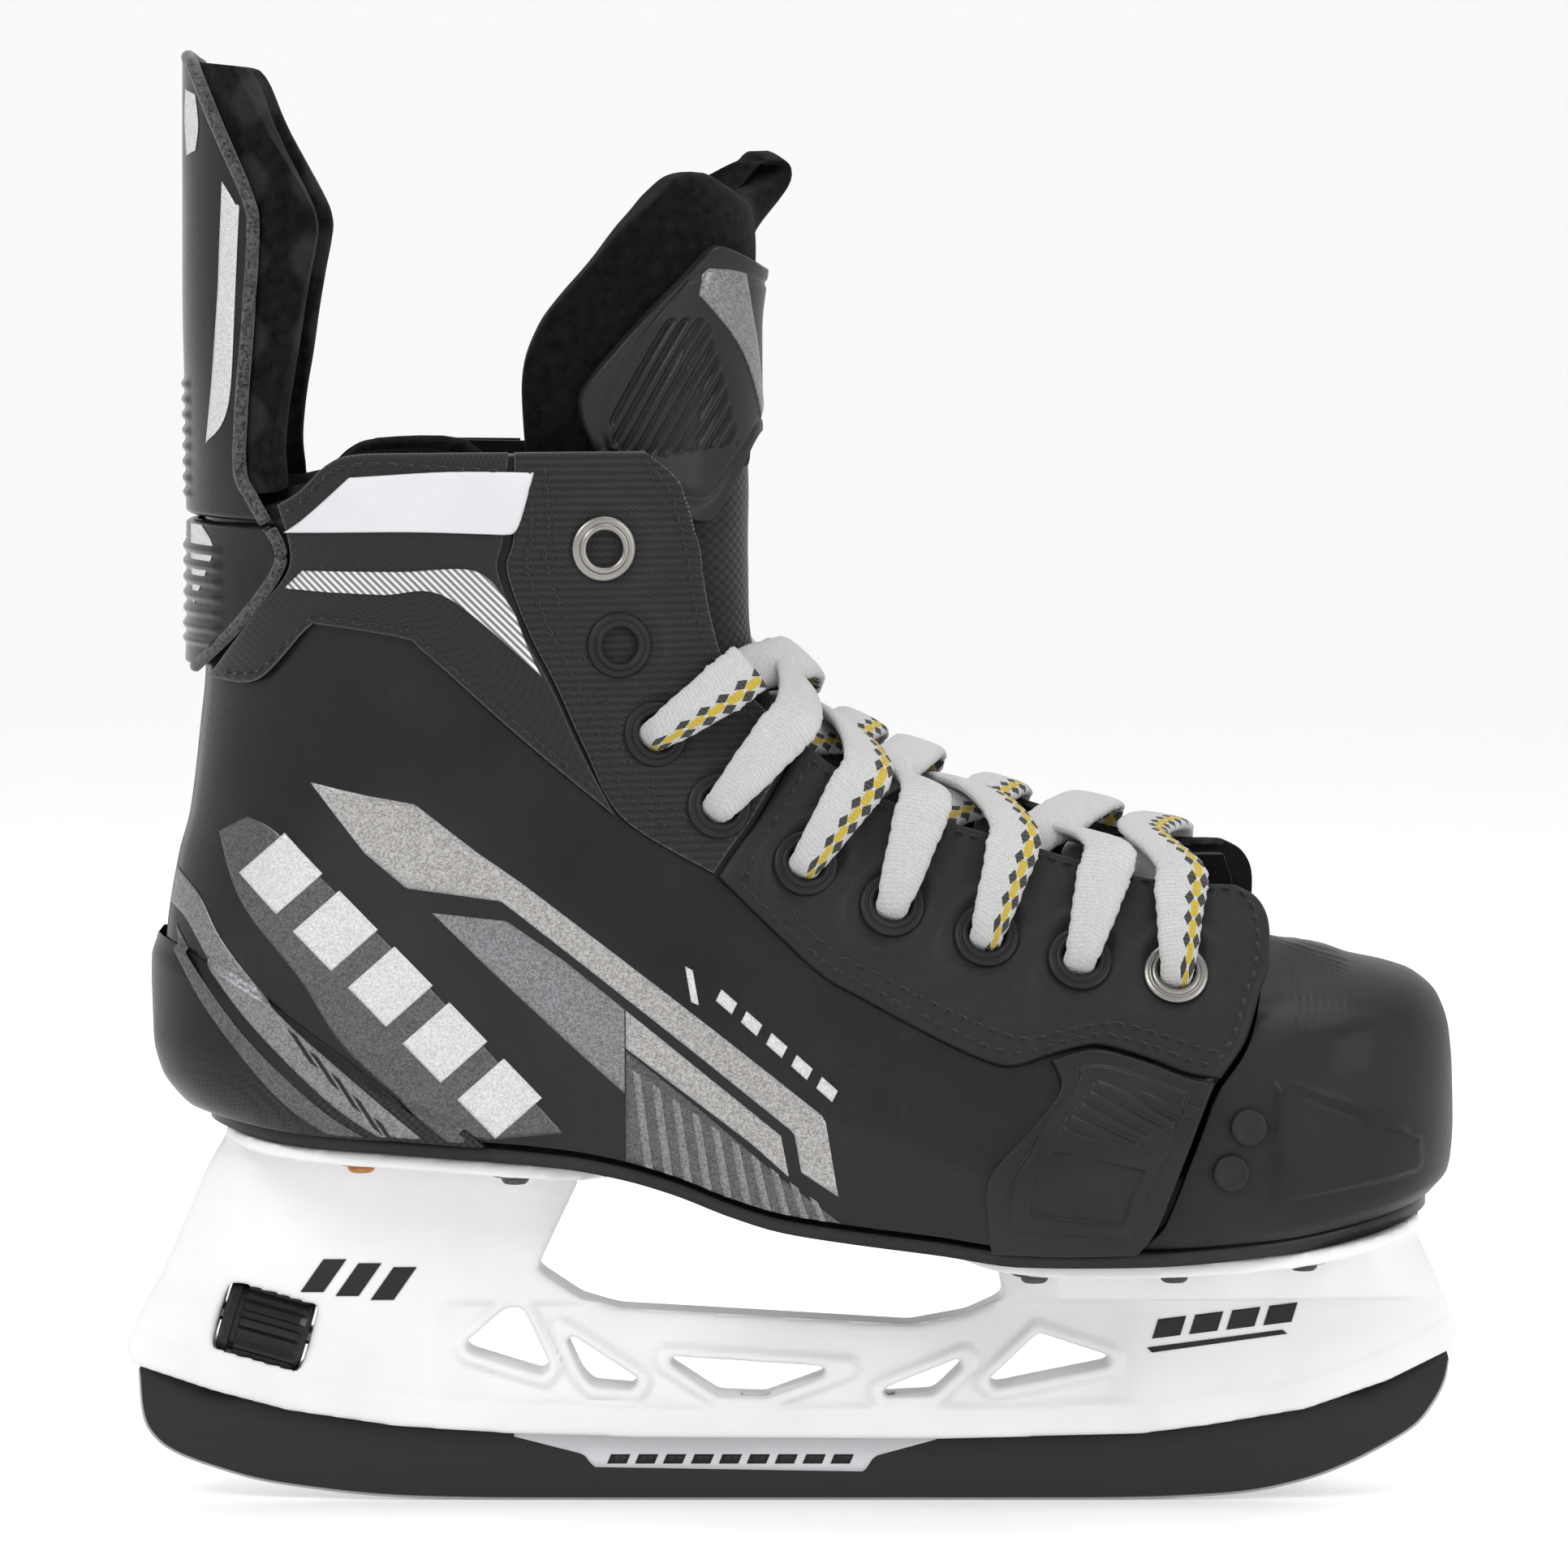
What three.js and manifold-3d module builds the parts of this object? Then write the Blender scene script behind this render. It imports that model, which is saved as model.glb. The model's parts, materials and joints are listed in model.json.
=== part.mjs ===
// Ice hockey skate for the right foot: a laced boot with a felt tongue and a tendon guard,
// riveted to a moulded holder that carries a steel runner. Millimetres, +X to the toe,
// +Y to the inner side of the foot, +Z up. The origin is on the ground, midway along the box.
import * as THREE from "three";
import { mergeVertices } from "three/addons/utils/BufferGeometryUtils.js";
import Module from "manifold-3d";

// ---- driving dimensions ----
const RUNNER_LENGTH = 263; // steel, tip to tip
const STAND_HEIGHT = 53; // ground to the sole under the ball of the foot
const BOOT_HEIGHT = 236; // that sole to the top of the tendon guard
const BALL_WIDTH = 92; // outside of the boot across the ball
const HEEL_WIDTH = 68; // outside of the heel
const ANKLE_WIDTH = 77; // outside of the ankle
const COLLAR_WIDTH = 80; // outside of the collar
const THROAT_GAP = 43; // between the two facings at the instep
const MEDIAL_RISE = 5; // the inner facing stands this much higher than the outer one
const TOE_SHIFT = 3; // the toe lies this far towards the inner side
const SHELL_WALL = 2.2;
const OVERLAY_WALL = 1.2; // facings, straps and collar panels laid on the shell
const GUARD_WALL = 2.2;
const TOE_WALL = 2.6;
const LINER_WALL = 4.5;
const GUARD_PAD = 7;
const TONGUE_FELT = 7;
const OUTSOLE_WALL = 3;
const FOOTBED_WALL = 3.2;
const EYELET_HOLE = 3.55; // radius of the hole that the lace goes through
const EYELET_FLANGE = 6.4; // radius of the flange that shows
const EYELET_BARREL = 4.2;
const LACE_TUBE = 1.15; // radius of the lace pulled together
const STEEL = 3; // runner thickness
const RAIL_WIDTH = 12.6; // holder above the runner
const REAR_FLANGE_WIDTH = 54;
const FRONT_FLANGE_WIDTH = 66;
const FLANGE_WALL = 3;
const RIVET_HEAD = 4.6; // radius
const RIVET_SHANK = 2; // radius
const WHEEL_RADIUS = 8.4; // lock wheel
const WHEEL_LENGTH = 17.4;
const WHEEL_TILT = THREE.MathUtils.degToRad(16); // its axis drops towards the toe
const SCREW_RADIUS = 2;
const CLEAR = 0.4; // between pieces that touch
const LAYER_GAP = 1.1; // between the shell and what lies on it
const PAD_GAP = 1.8; // between the shell and the padding inside it
const RUNNING = 0.5; // between pieces that move

// ---- the last: outlines are drawn on one last and stretched to the driving dimensions ----
const LAST = { length: 263, stand: 53, boot: 236 };
const along = RUNNER_LENGTH / LAST.length;
const X = (x) => x * along;
const Z = (z) =>
  z < LAST.stand
    ? (z * STAND_HEIGHT) / LAST.stand
    : STAND_HEIGHT + ((z - LAST.stand) * BOOT_HEIGHT) / LAST.boot;
const drawn = (points) => points.map(([x, z]) => [X(x), Z(z)]);

const wasm = await Module();
wasm.setup();

const clamp = THREE.MathUtils.clamp;
const mix = THREE.MathUtils.lerp;
const ease = (t) => THREE.MathUtils.smoothstep(t, 0, 1);

// A smooth function through [input, output] pairs, level beyond its ends.
function graph(pairs) {
  const n = pairs.length;
  const rise = (i) => (pairs[i + 1][1] - pairs[i][1]) / (pairs[i + 1][0] - pairs[i][0]);
  const slope = pairs.map((_, i) => {
    if (i === 0 || i === n - 1) return 0;
    const [a, b] = [rise(i - 1), rise(i)];
    return a * b > 0 ? (2 * a * b) / (a + b) : 0;
  });
  if (n > 1) {
    slope[0] = rise(0);
    slope[n - 1] = rise(n - 2);
  }
  return (input) => {
    const v = clamp(input, pairs[0][0], pairs[n - 1][0]);
    let i = 0;
    while (i < n - 2 && v > pairs[i + 1][0]) i += 1;
    const width = pairs[i + 1][0] - pairs[i][0];
    const t = (v - pairs[i][0]) / width;
    const t2 = t * t;
    const t3 = t2 * t;
    return (
      (2 * t3 - 3 * t2 + 1) * pairs[i][1] +
      (t3 - 2 * t2 + t) * width * slope[i] +
      (3 * t2 - 2 * t3) * pairs[i + 1][1] +
      (t3 - t2) * width * slope[i + 1]
    );
  };
}

// A path through [x, z] points as a function of 0 to 1, even along its length.
function edge(points) {
  const curve = new THREE.SplineCurve(points.map(([x, z]) => new THREE.Vector2(x, z)));
  return (t) => curve.getPointAt(clamp(t, 0, 1)).toArray();
}

const swap = (pairs) => pairs.map(([x, z]) => [z, x]);

// ---- outlines of the boot in side view, [x, z] ----
const SOLE = drawn([
  [-118, 78.6], [-99.4, 75.5], [-76.6, 73.7], [-44.5, 71], [-33, 68.9], [-23, 66], [-12, 61.8],
  [-1.9, 58.9], [12.3, 56.9], [29.3, 55], [45, 53], [67.9, 52.7], [93.3, 54], [115, 57.2],
  [133, 62],
]);
const HEEL = drawn([
  [-110, 76], [-117, 80], [-122, 84], [-125.4, 89], [-126.6, 95], [-126.6, 105], [-126, 116],
  [-123.2, 132], [-120.9, 140], [-118.4, 158], [-117.3, 168], [-116.8, 183], [-116.8, 212],
  [-117.3, 240], [-117, 289],
]);
const THROAT = drawn([
  [-28.3, 212], [-22, 205.5], [-18.6, 193.7], [-17.3, 184], [-14.8, 173], [-11, 166],
  [1.6, 154.1], [15.8, 143.7], [30, 138.3], [44.5, 133.9], [63.9, 127.6], [76, 125.4],
  [90, 125],
]);
const TOE_SEAM = drawn([
  [67.9, 53], [72.3, 61.6], [78.7, 77.5], [83.1, 88.3], [87.6, 94.3], [89.5, 98],
  [91.9, 105.4], [93.8, 110.4], [94, 116],
]);

const soleZ = graph(SOLE);
const heelX = graph(swap(HEEL));
const seamX = graph(swap(TOE_SEAM));

// ---- the boot's outer surface ----
const footHalf = graph([
  [X(-60), HEEL_WIDTH / 2],
  [X(-20), HEEL_WIDTH / 2 + 2],
  [X(15), BALL_WIDTH / 2 - 5],
  [X(52), BALL_WIDTH / 2],
  [X(80), BALL_WIDTH / 2 - 2.5],
  [X(100), BALL_WIDTH / 2 - 5],
]);
const shaftHalf = graph([
  [Z(76), HEEL_WIDTH / 2 - 1],
  [Z(100), HEEL_WIDTH / 2],
  [Z(148), ANKLE_WIDTH / 2],
  [Z(176), ANKLE_WIDTH / 2 - 1.5],
  [Z(212), COLLAR_WIDTH / 2],
  [Z(240), COLLAR_WIDTH / 2 - 7],
  [Z(289), COLLAR_WIDTH / 2 - 14],
]);
const heelRadius = graph([
  [Z(76), HEEL_WIDTH / 2],
  [Z(150), HEEL_WIDTH / 2 + 2],
  [Z(212), COLLAR_WIDTH / 2 - 3],
  [Z(289), COLLAR_WIDTH / 2 - 14],
]);
const throatHalf = graph([
  [Z(120), THROAT_GAP / 2],
  [Z(150), THROAT_GAP / 2],
  [Z(212), THROAT_GAP / 2 + 5.5],
]);
const TUCK_HEIGHT = 14; // the side turns in over this height above the sole
const TUCK = 0.07;

function throatDistance(x, z) {
  let nearest = Infinity;
  for (let i = 0; i + 1 < THROAT.length; i += 1) {
    const [ax, az] = THROAT[i];
    const [bx, bz] = THROAT[i + 1];
    const t = ((x - ax) * (bx - ax) + (z - az) * (bz - az)) / ((bx - ax) ** 2 + (bz - az) ** 2);
    // the first stretch also stands for the line above the collar
    const k = clamp(t, i === 0 ? -9 : 0, i + 2 === THROAT.length ? 9 : 1);
    nearest = Math.min(nearest, Math.hypot(x - ax - k * (bx - ax), z - az - k * (bz - az)));
  }
  return nearest;
}

// Half the boot's width at a point of its side view.
function halfWidth(x, z) {
  const low = 1 - ease((z - Z(100)) / Z(60));
  const side = shaftHalf(z) + (footHalf(x) - HEEL_WIDTH / 2) * low;
  const reach = 46 + 16 * ease((X(90) - x) / X(60));
  const open = throatHalf(z);
  const lean = 1 - (1 - Math.min(throatDistance(x, z) / reach, 1)) ** 1.5;
  const tuck = TUCK * (1 - clamp((z - soleZ(x)) / TUCK_HEIGHT, 0, 1)) ** 2;
  return (open + (side - open) * lean) * (1 - tuck);
}

const centre = (x) => TOE_SHIFT * ease((x - X(10)) / X(110));
const medialLift = (x, z) =>
  MEDIAL_RISE * ease((z - Z(80)) / Z(50)) * ease((x - X(-30)) / X(45));

// The way round the boot from the middle of the heel: x of a side-view point as a distance.
function wayRound(x, z) {
  const radius = heelRadius(z);
  const back = Math.max(x - heelX(z), 0);
  return back < radius
    ? radius * Math.acos(1 - back / radius)
    : radius * (Math.PI / 2 - 1) + back;
}

// Outer side (camera side of a right boot) is way < 0, inner side is way > 0.
function bootPoint(way, z) {
  const radius = heelRadius(z);
  const turn = Math.min(Math.abs(way) / radius, Math.PI / 2);
  const past = Math.max(Math.abs(way) - (radius * Math.PI) / 2, 0);
  const x = heelX(z) + radius * (1 - Math.cos(turn)) + past;
  const y = Math.sign(way) * halfWidth(x, z) * Math.sin(turn);
  return new THREE.Vector3(x, y + centre(x), z + (way > 0 ? medialLift(x, z) : 0));
}

// A point `out` millimetres off a surface given by point(a, b).
function lifted(point, a, b, out) {
  const step = 0.05;
  const alongA = point(a + step, b).sub(point(a - step, b));
  const alongB = point(a, b + step).sub(point(a, b - step));
  const normal = alongB.cross(alongA).normalize();
  return point(a, b).addScaledVector(normal, out);
}
const onBoot = (way, z, out) => lifted(bootPoint, way, z, out);
const onSide = (side, x, z, out) => onBoot(side * Math.max(wayRound(x, z), 0.2), z, out);

// A patch between four edges, each a function of 0 to 1 that gives a pair of numbers.
function patch({ bottom, top, back, front }) {
  const join = (a, b) => (t) => [mix(a[0], b[0], t), mix(a[1], b[1], t)];
  const first = back ?? join(bottom(0), top(0));
  const last = front ?? join(bottom(1), top(1));
  return (t, v) =>
    [0, 1].map(
      (i) =>
        mix(bottom(t)[i], top(t)[i], v) +
        mix(first(v)[i], last(v)[i], t) -
        mix(mix(bottom(0)[i], bottom(1)[i], t), mix(top(0)[i], top(1)[i], t), v),
    );
}

// ---- solids ----
function facingOut(geometry) {
  const p = geometry.attributes.position;
  const index = geometry.index.array;
  const [a, b, c] = [new THREE.Vector3(), new THREE.Vector3(), new THREE.Vector3()];
  let volume = 0;
  for (let i = 0; i < index.length; i += 3) {
    a.fromBufferAttribute(p, index[i]);
    b.fromBufferAttribute(p, index[i + 1]);
    c.fromBufferAttribute(p, index[i + 2]);
    volume += a.dot(b.cross(c));
  }
  if (volume < 0) {
    for (let i = 0; i < index.length; i += 3) {
      [index[i + 1], index[i + 2]] = [index[i + 2], index[i + 1]];
    }
  }
  return geometry;
}

function merged(geometry) {
  const bare = geometry.clone();
  bare.deleteAttribute("normal");
  bare.deleteAttribute("uv");
  return mergeVertices(bare, 1e-4);
}

// A box of across x up x 1 cells whose corners go where place(u, v, w) says, u, v, w of 0 to 1.
function shaped(across, up, place, through = 1) {
  const geometry = merged(new THREE.BoxGeometry(1, 1, 1, across, up, through));
  const p = geometry.attributes.position;
  for (let i = 0; i < p.count; i += 1) {
    const spot = place(p.getX(i) + 0.5, p.getY(i) + 0.5, p.getZ(i) + 0.5);
    p.setXYZ(i, spot.x, spot.y, spot.z);
  }
  return facingOut(geometry);
}

// A panel on one side of the boot; its edges are given in side view.
function sidePanel(side, cells, edges, inner, outer) {
  const round = (line) =>
    line &&
    ((t) => {
      const [x, z] = line(t);
      return [side * wayRound(x, z), z];
    });
  const inside = patch({
    bottom: round(edges.bottom),
    top: round(edges.top),
    back: round(edges.back),
    front: round(edges.front),
  });
  return shaped(cells[0], cells[1], (u, v, w) => {
    const [way, z] = inside(u, v);
    return onBoot(way, z, mix(inner, outer, w));
  });
}

// A panel that wraps round the heel from one side to the other, alike on both.
function heelPanel(cells, edges, inner, outer) {
  const round = (line) =>
    line &&
    ((t) => {
      const [x, z] = line(t);
      return [t === 0 ? 0 : wayRound(x, z), z];
    });
  const inside = patch({
    bottom: round(edges.bottom),
    top: round(edges.top),
    front: edges.front && ((v) => [wayRound(...edges.front(v)), edges.front(v)[1]]),
  });
  return shaped(cells[0], cells[1], (u, v, w) => {
    const t = 2 * u - 1;
    const [way, z] = inside(Math.abs(t), v);
    return onBoot(Math.sign(t) * way, z, mix(inner, outer, w));
  });
}

function solid(geometry) {
  const g = facingOut(merged(geometry.index ? geometry : mergeVertices(geometry)));
  return new wasm.Manifold(
    new wasm.Mesh({
      numProp: 3,
      vertProperties: new Float32Array(g.attributes.position.array),
      triVerts: new Uint32Array(g.index.array),
    }),
  );
}

function geometryOf(body) {
  const mesh = body.getMesh();
  const geometry = new THREE.BufferGeometry();
  const position = new THREE.BufferAttribute(new Float32Array(mesh.vertProperties), 3);
  geometry.setAttribute("position", position);
  geometry.setIndex(new THREE.BufferAttribute(new Uint32Array(mesh.triVerts), 1));
  return geometry;
}

const cutFrom = (geometry, tools) =>
  geometryOf(tools.reduce((body, tool) => body.subtract(solid(tool)), solid(geometry)));
const joined = (geometries) =>
  geometryOf(geometries.map(solid).reduce((body, next) => body.add(next)));

// A closed [x, z] outline drawn out across Y, centred on y = 0.
function extruded(points, thickness, holes = []) {
  const shape = new THREE.Shape(points.map(([x, z]) => new THREE.Vector2(x, z)));
  for (const hole of holes) {
    shape.holes.push(new THREE.Path(hole.map(([x, z]) => new THREE.Vector2(x, z))));
  }
  const geometry = new THREE.ExtrudeGeometry(shape, { depth: thickness, bevelEnabled: false });
  geometry.rotateX(Math.PI / 2);
  geometry.translate(0, thickness / 2, 0);
  return geometry;
}

function turned(profile, segments) {
  return new THREE.LatheGeometry(
    profile.map(([r, h]) => new THREE.Vector2(r, h)),
    segments,
  );
}

// Puts a piece made along +Y at a place, with its +Y along `axis`.
function placed(geometry, place, axis) {
  const turn = new THREE.Quaternion().setFromUnitVectors(new THREE.Vector3(0, 1, 0), axis);
  return geometry.applyQuaternion(turn).translate(place.x, place.y, place.z);
}

// ---- materials ----
const looks = {
  gloss: { color: 0x232223, roughness: 0.25, metalness: 0 },
  matte: { color: 0x2c2b2c, roughness: 0.7, metalness: 0 },
  rubber: { color: 0x1d1d1e, roughness: 0.85, metalness: 0 },
  white: { color: 0xe9e9ea, roughness: 0.4, metalness: 0 },
  steel: { color: 0x2f2e2e, roughness: 0.35, metalness: 0.8 },
  bright: { color: 0x9a968e, roughness: 0.3, metalness: 1 },
  copper: { color: 0xb5652b, roughness: 0.35, metalness: 1 },
  felt: { color: 0x18181a, roughness: 0.95, metalness: 0 },
  lace: { color: 0xf2f2f2, roughness: 0.9, metalness: 0 },
};

const skate = new THREE.Group();
skate.name = "ice_skate";

function add(name, geometry, look) {
  const mesh = new THREE.Mesh(geometry, new THREE.MeshStandardMaterial(looks[look]));
  mesh.name = name;
  skate.add(mesh);
  return mesh;
}

// ---- eyelets ----
const EYELETS = drawn([
  [-37.2, 193.1], [-34.3, 174], [-27.2, 156.2], [-14.7, 142], [2.3, 130.7], [19.4, 122.4],
  [37.8, 116.3], [55.9, 111.6], [74.9, 108.7],
]);
const SIDES = [
  { side: -1, label: "outer" },
  { side: 1, label: "inner" },
];
const FACING_OUT = LAYER_GAP + OVERLAY_WALL; // outer face of the panels above the shell

function outwardAt(side, [x, z]) {
  const low = onSide(side, x, z, 0);
  return { spot: low, axis: onSide(side, x, z, 1).sub(low).normalize() };
}

function eyelet(side, at) {
  const { spot, axis } = outwardAt(side, at);
  const top = FACING_OUT + CLEAR;
  const foot = -SHELL_WALL - 0.6;
  const profile = [
    [EYELET_HOLE, foot],
    [EYELET_BARREL, foot],
    [EYELET_BARREL, top],
    [EYELET_FLANGE, top],
    [EYELET_FLANGE - 0.6, top + 0.9],
    [EYELET_HOLE, top + 0.6],
    [EYELET_HOLE, foot],
  ];
  return placed(turned(profile, 10), spot, axis);
}

function eyeletHole(side, at) {
  const { spot, axis } = outwardAt(side, at);
  const radius = (EYELET_BARREL + CLEAR) / Math.cos(Math.PI / 6);
  const rod = turned([[0, -8], [radius, -8], [radius, 8], [0, 8]], 6);
  return placed(rod, spot, axis);
}
const eyeletHoles = (side, places) => places.map((at) => eyeletHole(side, at));

for (const { side, label } of SIDES) {
  EYELETS.forEach((at, i) => {
    const metal = i === 0 || i === EYELETS.length - 1;
    add(`eyelet_${label}_${i + 1}`, eyelet(side, at), metal ? "bright" : "rubber");
  });
}

// ---- shell ----
const above = (lift) => (t) => {
  const x = mix(X(-117), X(67.4), t);
  return [x, soleZ(x) + lift];
};
const SHELL_TOP = drawn([
  [-116.8, 199], [-106, 200.5], [-97, 203.5], [-93, 206], [-89.5, 209.6], [-84, 211.4], [-52.6, 211.6],
  [-29.5, 210.6], [-22.9, 204], [-19.9, 193.7], [-18.8, 184], [-16.8, 172.6], [-13.2, 164.8],
  [0.2, 153], [15.1, 142.9], [44, 133], [63.5, 126.6], [76, 124.4], [87.5, 124.2],
]);
const SHELL_FRONT = drawn([
  [67.4, 56.4], [71.8, 61.8], [78.2, 77.6], [82.6, 88.4], [86.9, 94.6], [88.6, 99],
  [89.6, 105.4], [90, 112], [89.4, 119], [87.5, 124.2],
]);
const shell = heelPanel(
  [40, 8],
  { bottom: above(OUTSOLE_WALL + CLEAR), top: edge(SHELL_TOP), front: edge(SHELL_FRONT) },
  -SHELL_WALL,
  0,
);
const allHoles = SIDES.flatMap(({ side }) => eyeletHoles(side, EYELETS));
add("quarter_shell", cutFrom(shell, allHoles), "gloss");

// ---- panels on the shell ----
const UPPER_FACING_OUTER = drawn([
  [-54, 211.6], [-54.2, 195.3], [-55.4, 188.9], [-51.7, 177.6], [-46.1, 166.2], [-40.6, 154],
  [-33.1, 140.4], [-15.4, 129.4],
]);
const UPPER_FACING_THROAT = drawn([
  [-29, 211.6], [-21.6, 204.8], [-18.3, 193.7], [-17.2, 184], [-14.6, 172.7], [-10.8, 165.7],
  [0.8, 154.8],
]);
const LOWER_FACING_OUTER = drawn([
  [-14.6, 128.8], [4, 111.1], [13.3, 105.4], [28.8, 97.3], [38.6, 93.1], [43.7, 92.5],
  [49.8, 94.3], [56.6, 95.9], [61, 95.9], [69, 93.6], [77.1, 90.6], [83.4, 89.6],
]);
const LOWER_FACING_THROAT = drawn([
  [1.6, 154.1], [15.8, 143.9], [30, 138.5], [44.5, 134.1], [63.9, 127.8], [76, 125.6],
  [87, 125.3],
]);
const LOWER_FACING_FRONT = drawn([
  [83.4, 89.6], [87, 94.4], [89, 98], [91.4, 105.4], [93.3, 110.4], [93.6, 118.5],
  [91.4, 123], [87, 125.3],
]);
const STRAP_TOP = drawn([
  [50.4, 93.6], [56.6, 95.2], [61, 95.2], [69, 92.9], [77.1, 89.9], [82.4, 89],
]);
const STRAP_BOTTOM = drawn([[39.1, 56.5], [53, 56.1], [66.9, 56.2]]);
const STRAP_BACK = drawn([
  [39.1, 56.5], [38.2, 62], [37.7, 68.9], [39.4, 73.1], [47.7, 81.8], [52.1, 88.3], [50.4, 93.6],
]);
const STRAP_FRONT = drawn([[66.9, 56.2], [71.2, 61.8], [77.6, 77.6], [82.4, 89]]);
const COLLAR_BOTTOM = drawn([
  [-113.4, 167], [-103.5, 167.2], [-93.8, 177.5], [-90.6, 178.4], [-75.2, 175.8],
  [-71.5, 173.2], [-52.6, 155.9], [-34.6, 140.8],
]);
const COLLAR_TOP = drawn([
  [-99, 201.6], [-94.6, 204.6], [-89.5, 209.6], [-84, 211.4], [-70, 211.6], [-55.2, 211.6],
]);
const COLLAR_BACK = drawn([[-113.4, 167], [-104, 180], [-96.8, 190.2], [-99, 201.6]]);
const COLLAR_FRONT = drawn([
  [-34.6, 140.8], [-41.8, 154.2], [-47.2, 166.2], [-53.2, 177.8], [-57.3, 188.9], [-56.2, 195.3],
  [-55.2, 211.6],
]);

for (const { side, label } of SIDES) {
  const upper = sidePanel(
    side,
    [16, 5],
    { bottom: edge(UPPER_FACING_OUTER), top: edge(UPPER_FACING_THROAT) },
    LAYER_GAP,
    FACING_OUT,
  );
  add(`facing_upper_${label}`, cutFrom(upper, eyeletHoles(side, EYELETS.slice(0, 4))), "matte");
  const lower = sidePanel(
    side,
    [14, 4],
    {
      bottom: edge(LOWER_FACING_OUTER),
      top: edge(LOWER_FACING_THROAT),
      front: edge(LOWER_FACING_FRONT),
    },
    LAYER_GAP,
    FACING_OUT,
  );
  add(`facing_lower_${label}`, cutFrom(lower, eyeletHoles(side, EYELETS.slice(4))), "gloss");
  add(
    `side_strap_${label}`,
    sidePanel(
      side,
      [5, 8],
      {
        bottom: edge(STRAP_BOTTOM),
        top: edge(STRAP_TOP),
        back: edge(STRAP_BACK),
        front: edge(STRAP_FRONT),
      },
      LAYER_GAP,
      FACING_OUT,
    ),
    "matte",
  );
  add(
    `collar_panel_${label}`,
    sidePanel(
      side,
      [12, 7],
      {
        bottom: edge(COLLAR_BOTTOM),
        top: edge(COLLAR_TOP),
        back: edge(COLLAR_BACK),
        front: edge(COLLAR_FRONT),
      },
      LAYER_GAP,
      FACING_OUT,
    ),
    "matte",
  );
}

// ---- heel cup and tendon guard ----
const HEEL_CUP_TOP = drawn([
  [-126, 115.5], [-118, 113], [-104, 105.5], [-88, 94], [-74, 83], [-64, 79.4],
]);
const HEEL_CUP_BOTTOM = (t) => {
  const x = mix(X(-118), X(-60), t);
  return [x, soleZ(x) + OUTSOLE_WALL + CLEAR];
};
add(
  "heel_cup",
  heelPanel([20, 4], { bottom: HEEL_CUP_BOTTOM, top: edge(HEEL_CUP_TOP) }, LAYER_GAP, FACING_OUT),
  "gloss",
);

const FLEX_Z = Z(198); // the guard bends back here
const GUARD_OUT = LAYER_GAP + GUARD_WALL;
const BASE_FRONT = drawn([[-115.5, 168.6], [-106.4, 178], [-98.2, 190.4], [-100.4, 197.7]]);
add(
  "tendon_guard_base",
  heelPanel(
    [16, 4],
    {
      bottom: edge([[X(-117.4), Z(168.6)], BASE_FRONT[0]]),
      top: edge([[X(-116.8), FLEX_Z - CLEAR], [X(-108), FLEX_Z - CLEAR], BASE_FRONT[3]]),
      front: edge(BASE_FRONT),
    },
    LAYER_GAP,
    GUARD_OUT,
  ),
  "gloss",
);
const GUARD_FRONT = drawn([
  [-101, 198.4], [-103.6, 203], [-105.8, 208], [-105.6, 220.2], [-104.6, 238], [-103.8, 254],
  [-104.8, 261], [-110.6, 275], [-115.6, 287],
]);
add(
  "tendon_guard",
  heelPanel(
    [16, 9],
    {
      bottom: edge([[X(-116.8), FLEX_Z + CLEAR], [X(-108), FLEX_Z + CLEAR], GUARD_FRONT[0]]),
      top: edge([[X(-117), Z(288.6)], GUARD_FRONT[8]]),
      front: edge(GUARD_FRONT),
    },
    LAYER_GAP,
    GUARD_OUT,
  ),
  "gloss",
);
const PAD_FRONT = drawn([
  [-99, 207], [-100.6, 212], [-99.6, 220.2], [-97.4, 231], [-95, 243.4], [-92.6, 256],
  [-94.6, 262], [-102.4, 274.6], [-106, 281], [-109.4, 286.6],
]);
add(
  "guard_liner",
  heelPanel(
    [16, 8],
    {
      bottom: edge(drawn([[-116.8, 206], [-108, 206.2], [-99, 207]])),
      top: edge(drawn([[-117, 287.4], [-109.4, 286.6]])),
      front: edge(PAD_FRONT),
    },
    -GUARD_PAD,
    0,
  ),
  "felt",
);

// ---- lining and footbed ----
const LINER_TOP = drawn([
  [-116.8, 204.6], [-106, 204.8], [-99, 205], [-94, 206.6], [-90, 210], [-84, 212.4], [-66, 212.6],
  [-60.5, 206], [-58.5, 192], [-54, 175], [-45, 154], [-32, 136], [-14, 121], [12, 101.5],
  [40, 89], [60, 90], [72, 84],
]);
const linerBottom = (t) => {
  const x = mix(X(-117), X(66), t);
  return [x, soleZ(x) + OUTSOLE_WALL + FOOTBED_WALL + 2.2];
};
add(
  "boot_liner",
  heelPanel(
    [30, 5],
    { bottom: linerBottom, top: edge(LINER_TOP) },
    -SHELL_WALL - PAD_GAP - LINER_WALL,
    -SHELL_WALL - PAD_GAP,
  ),
  "felt",
);

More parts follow.
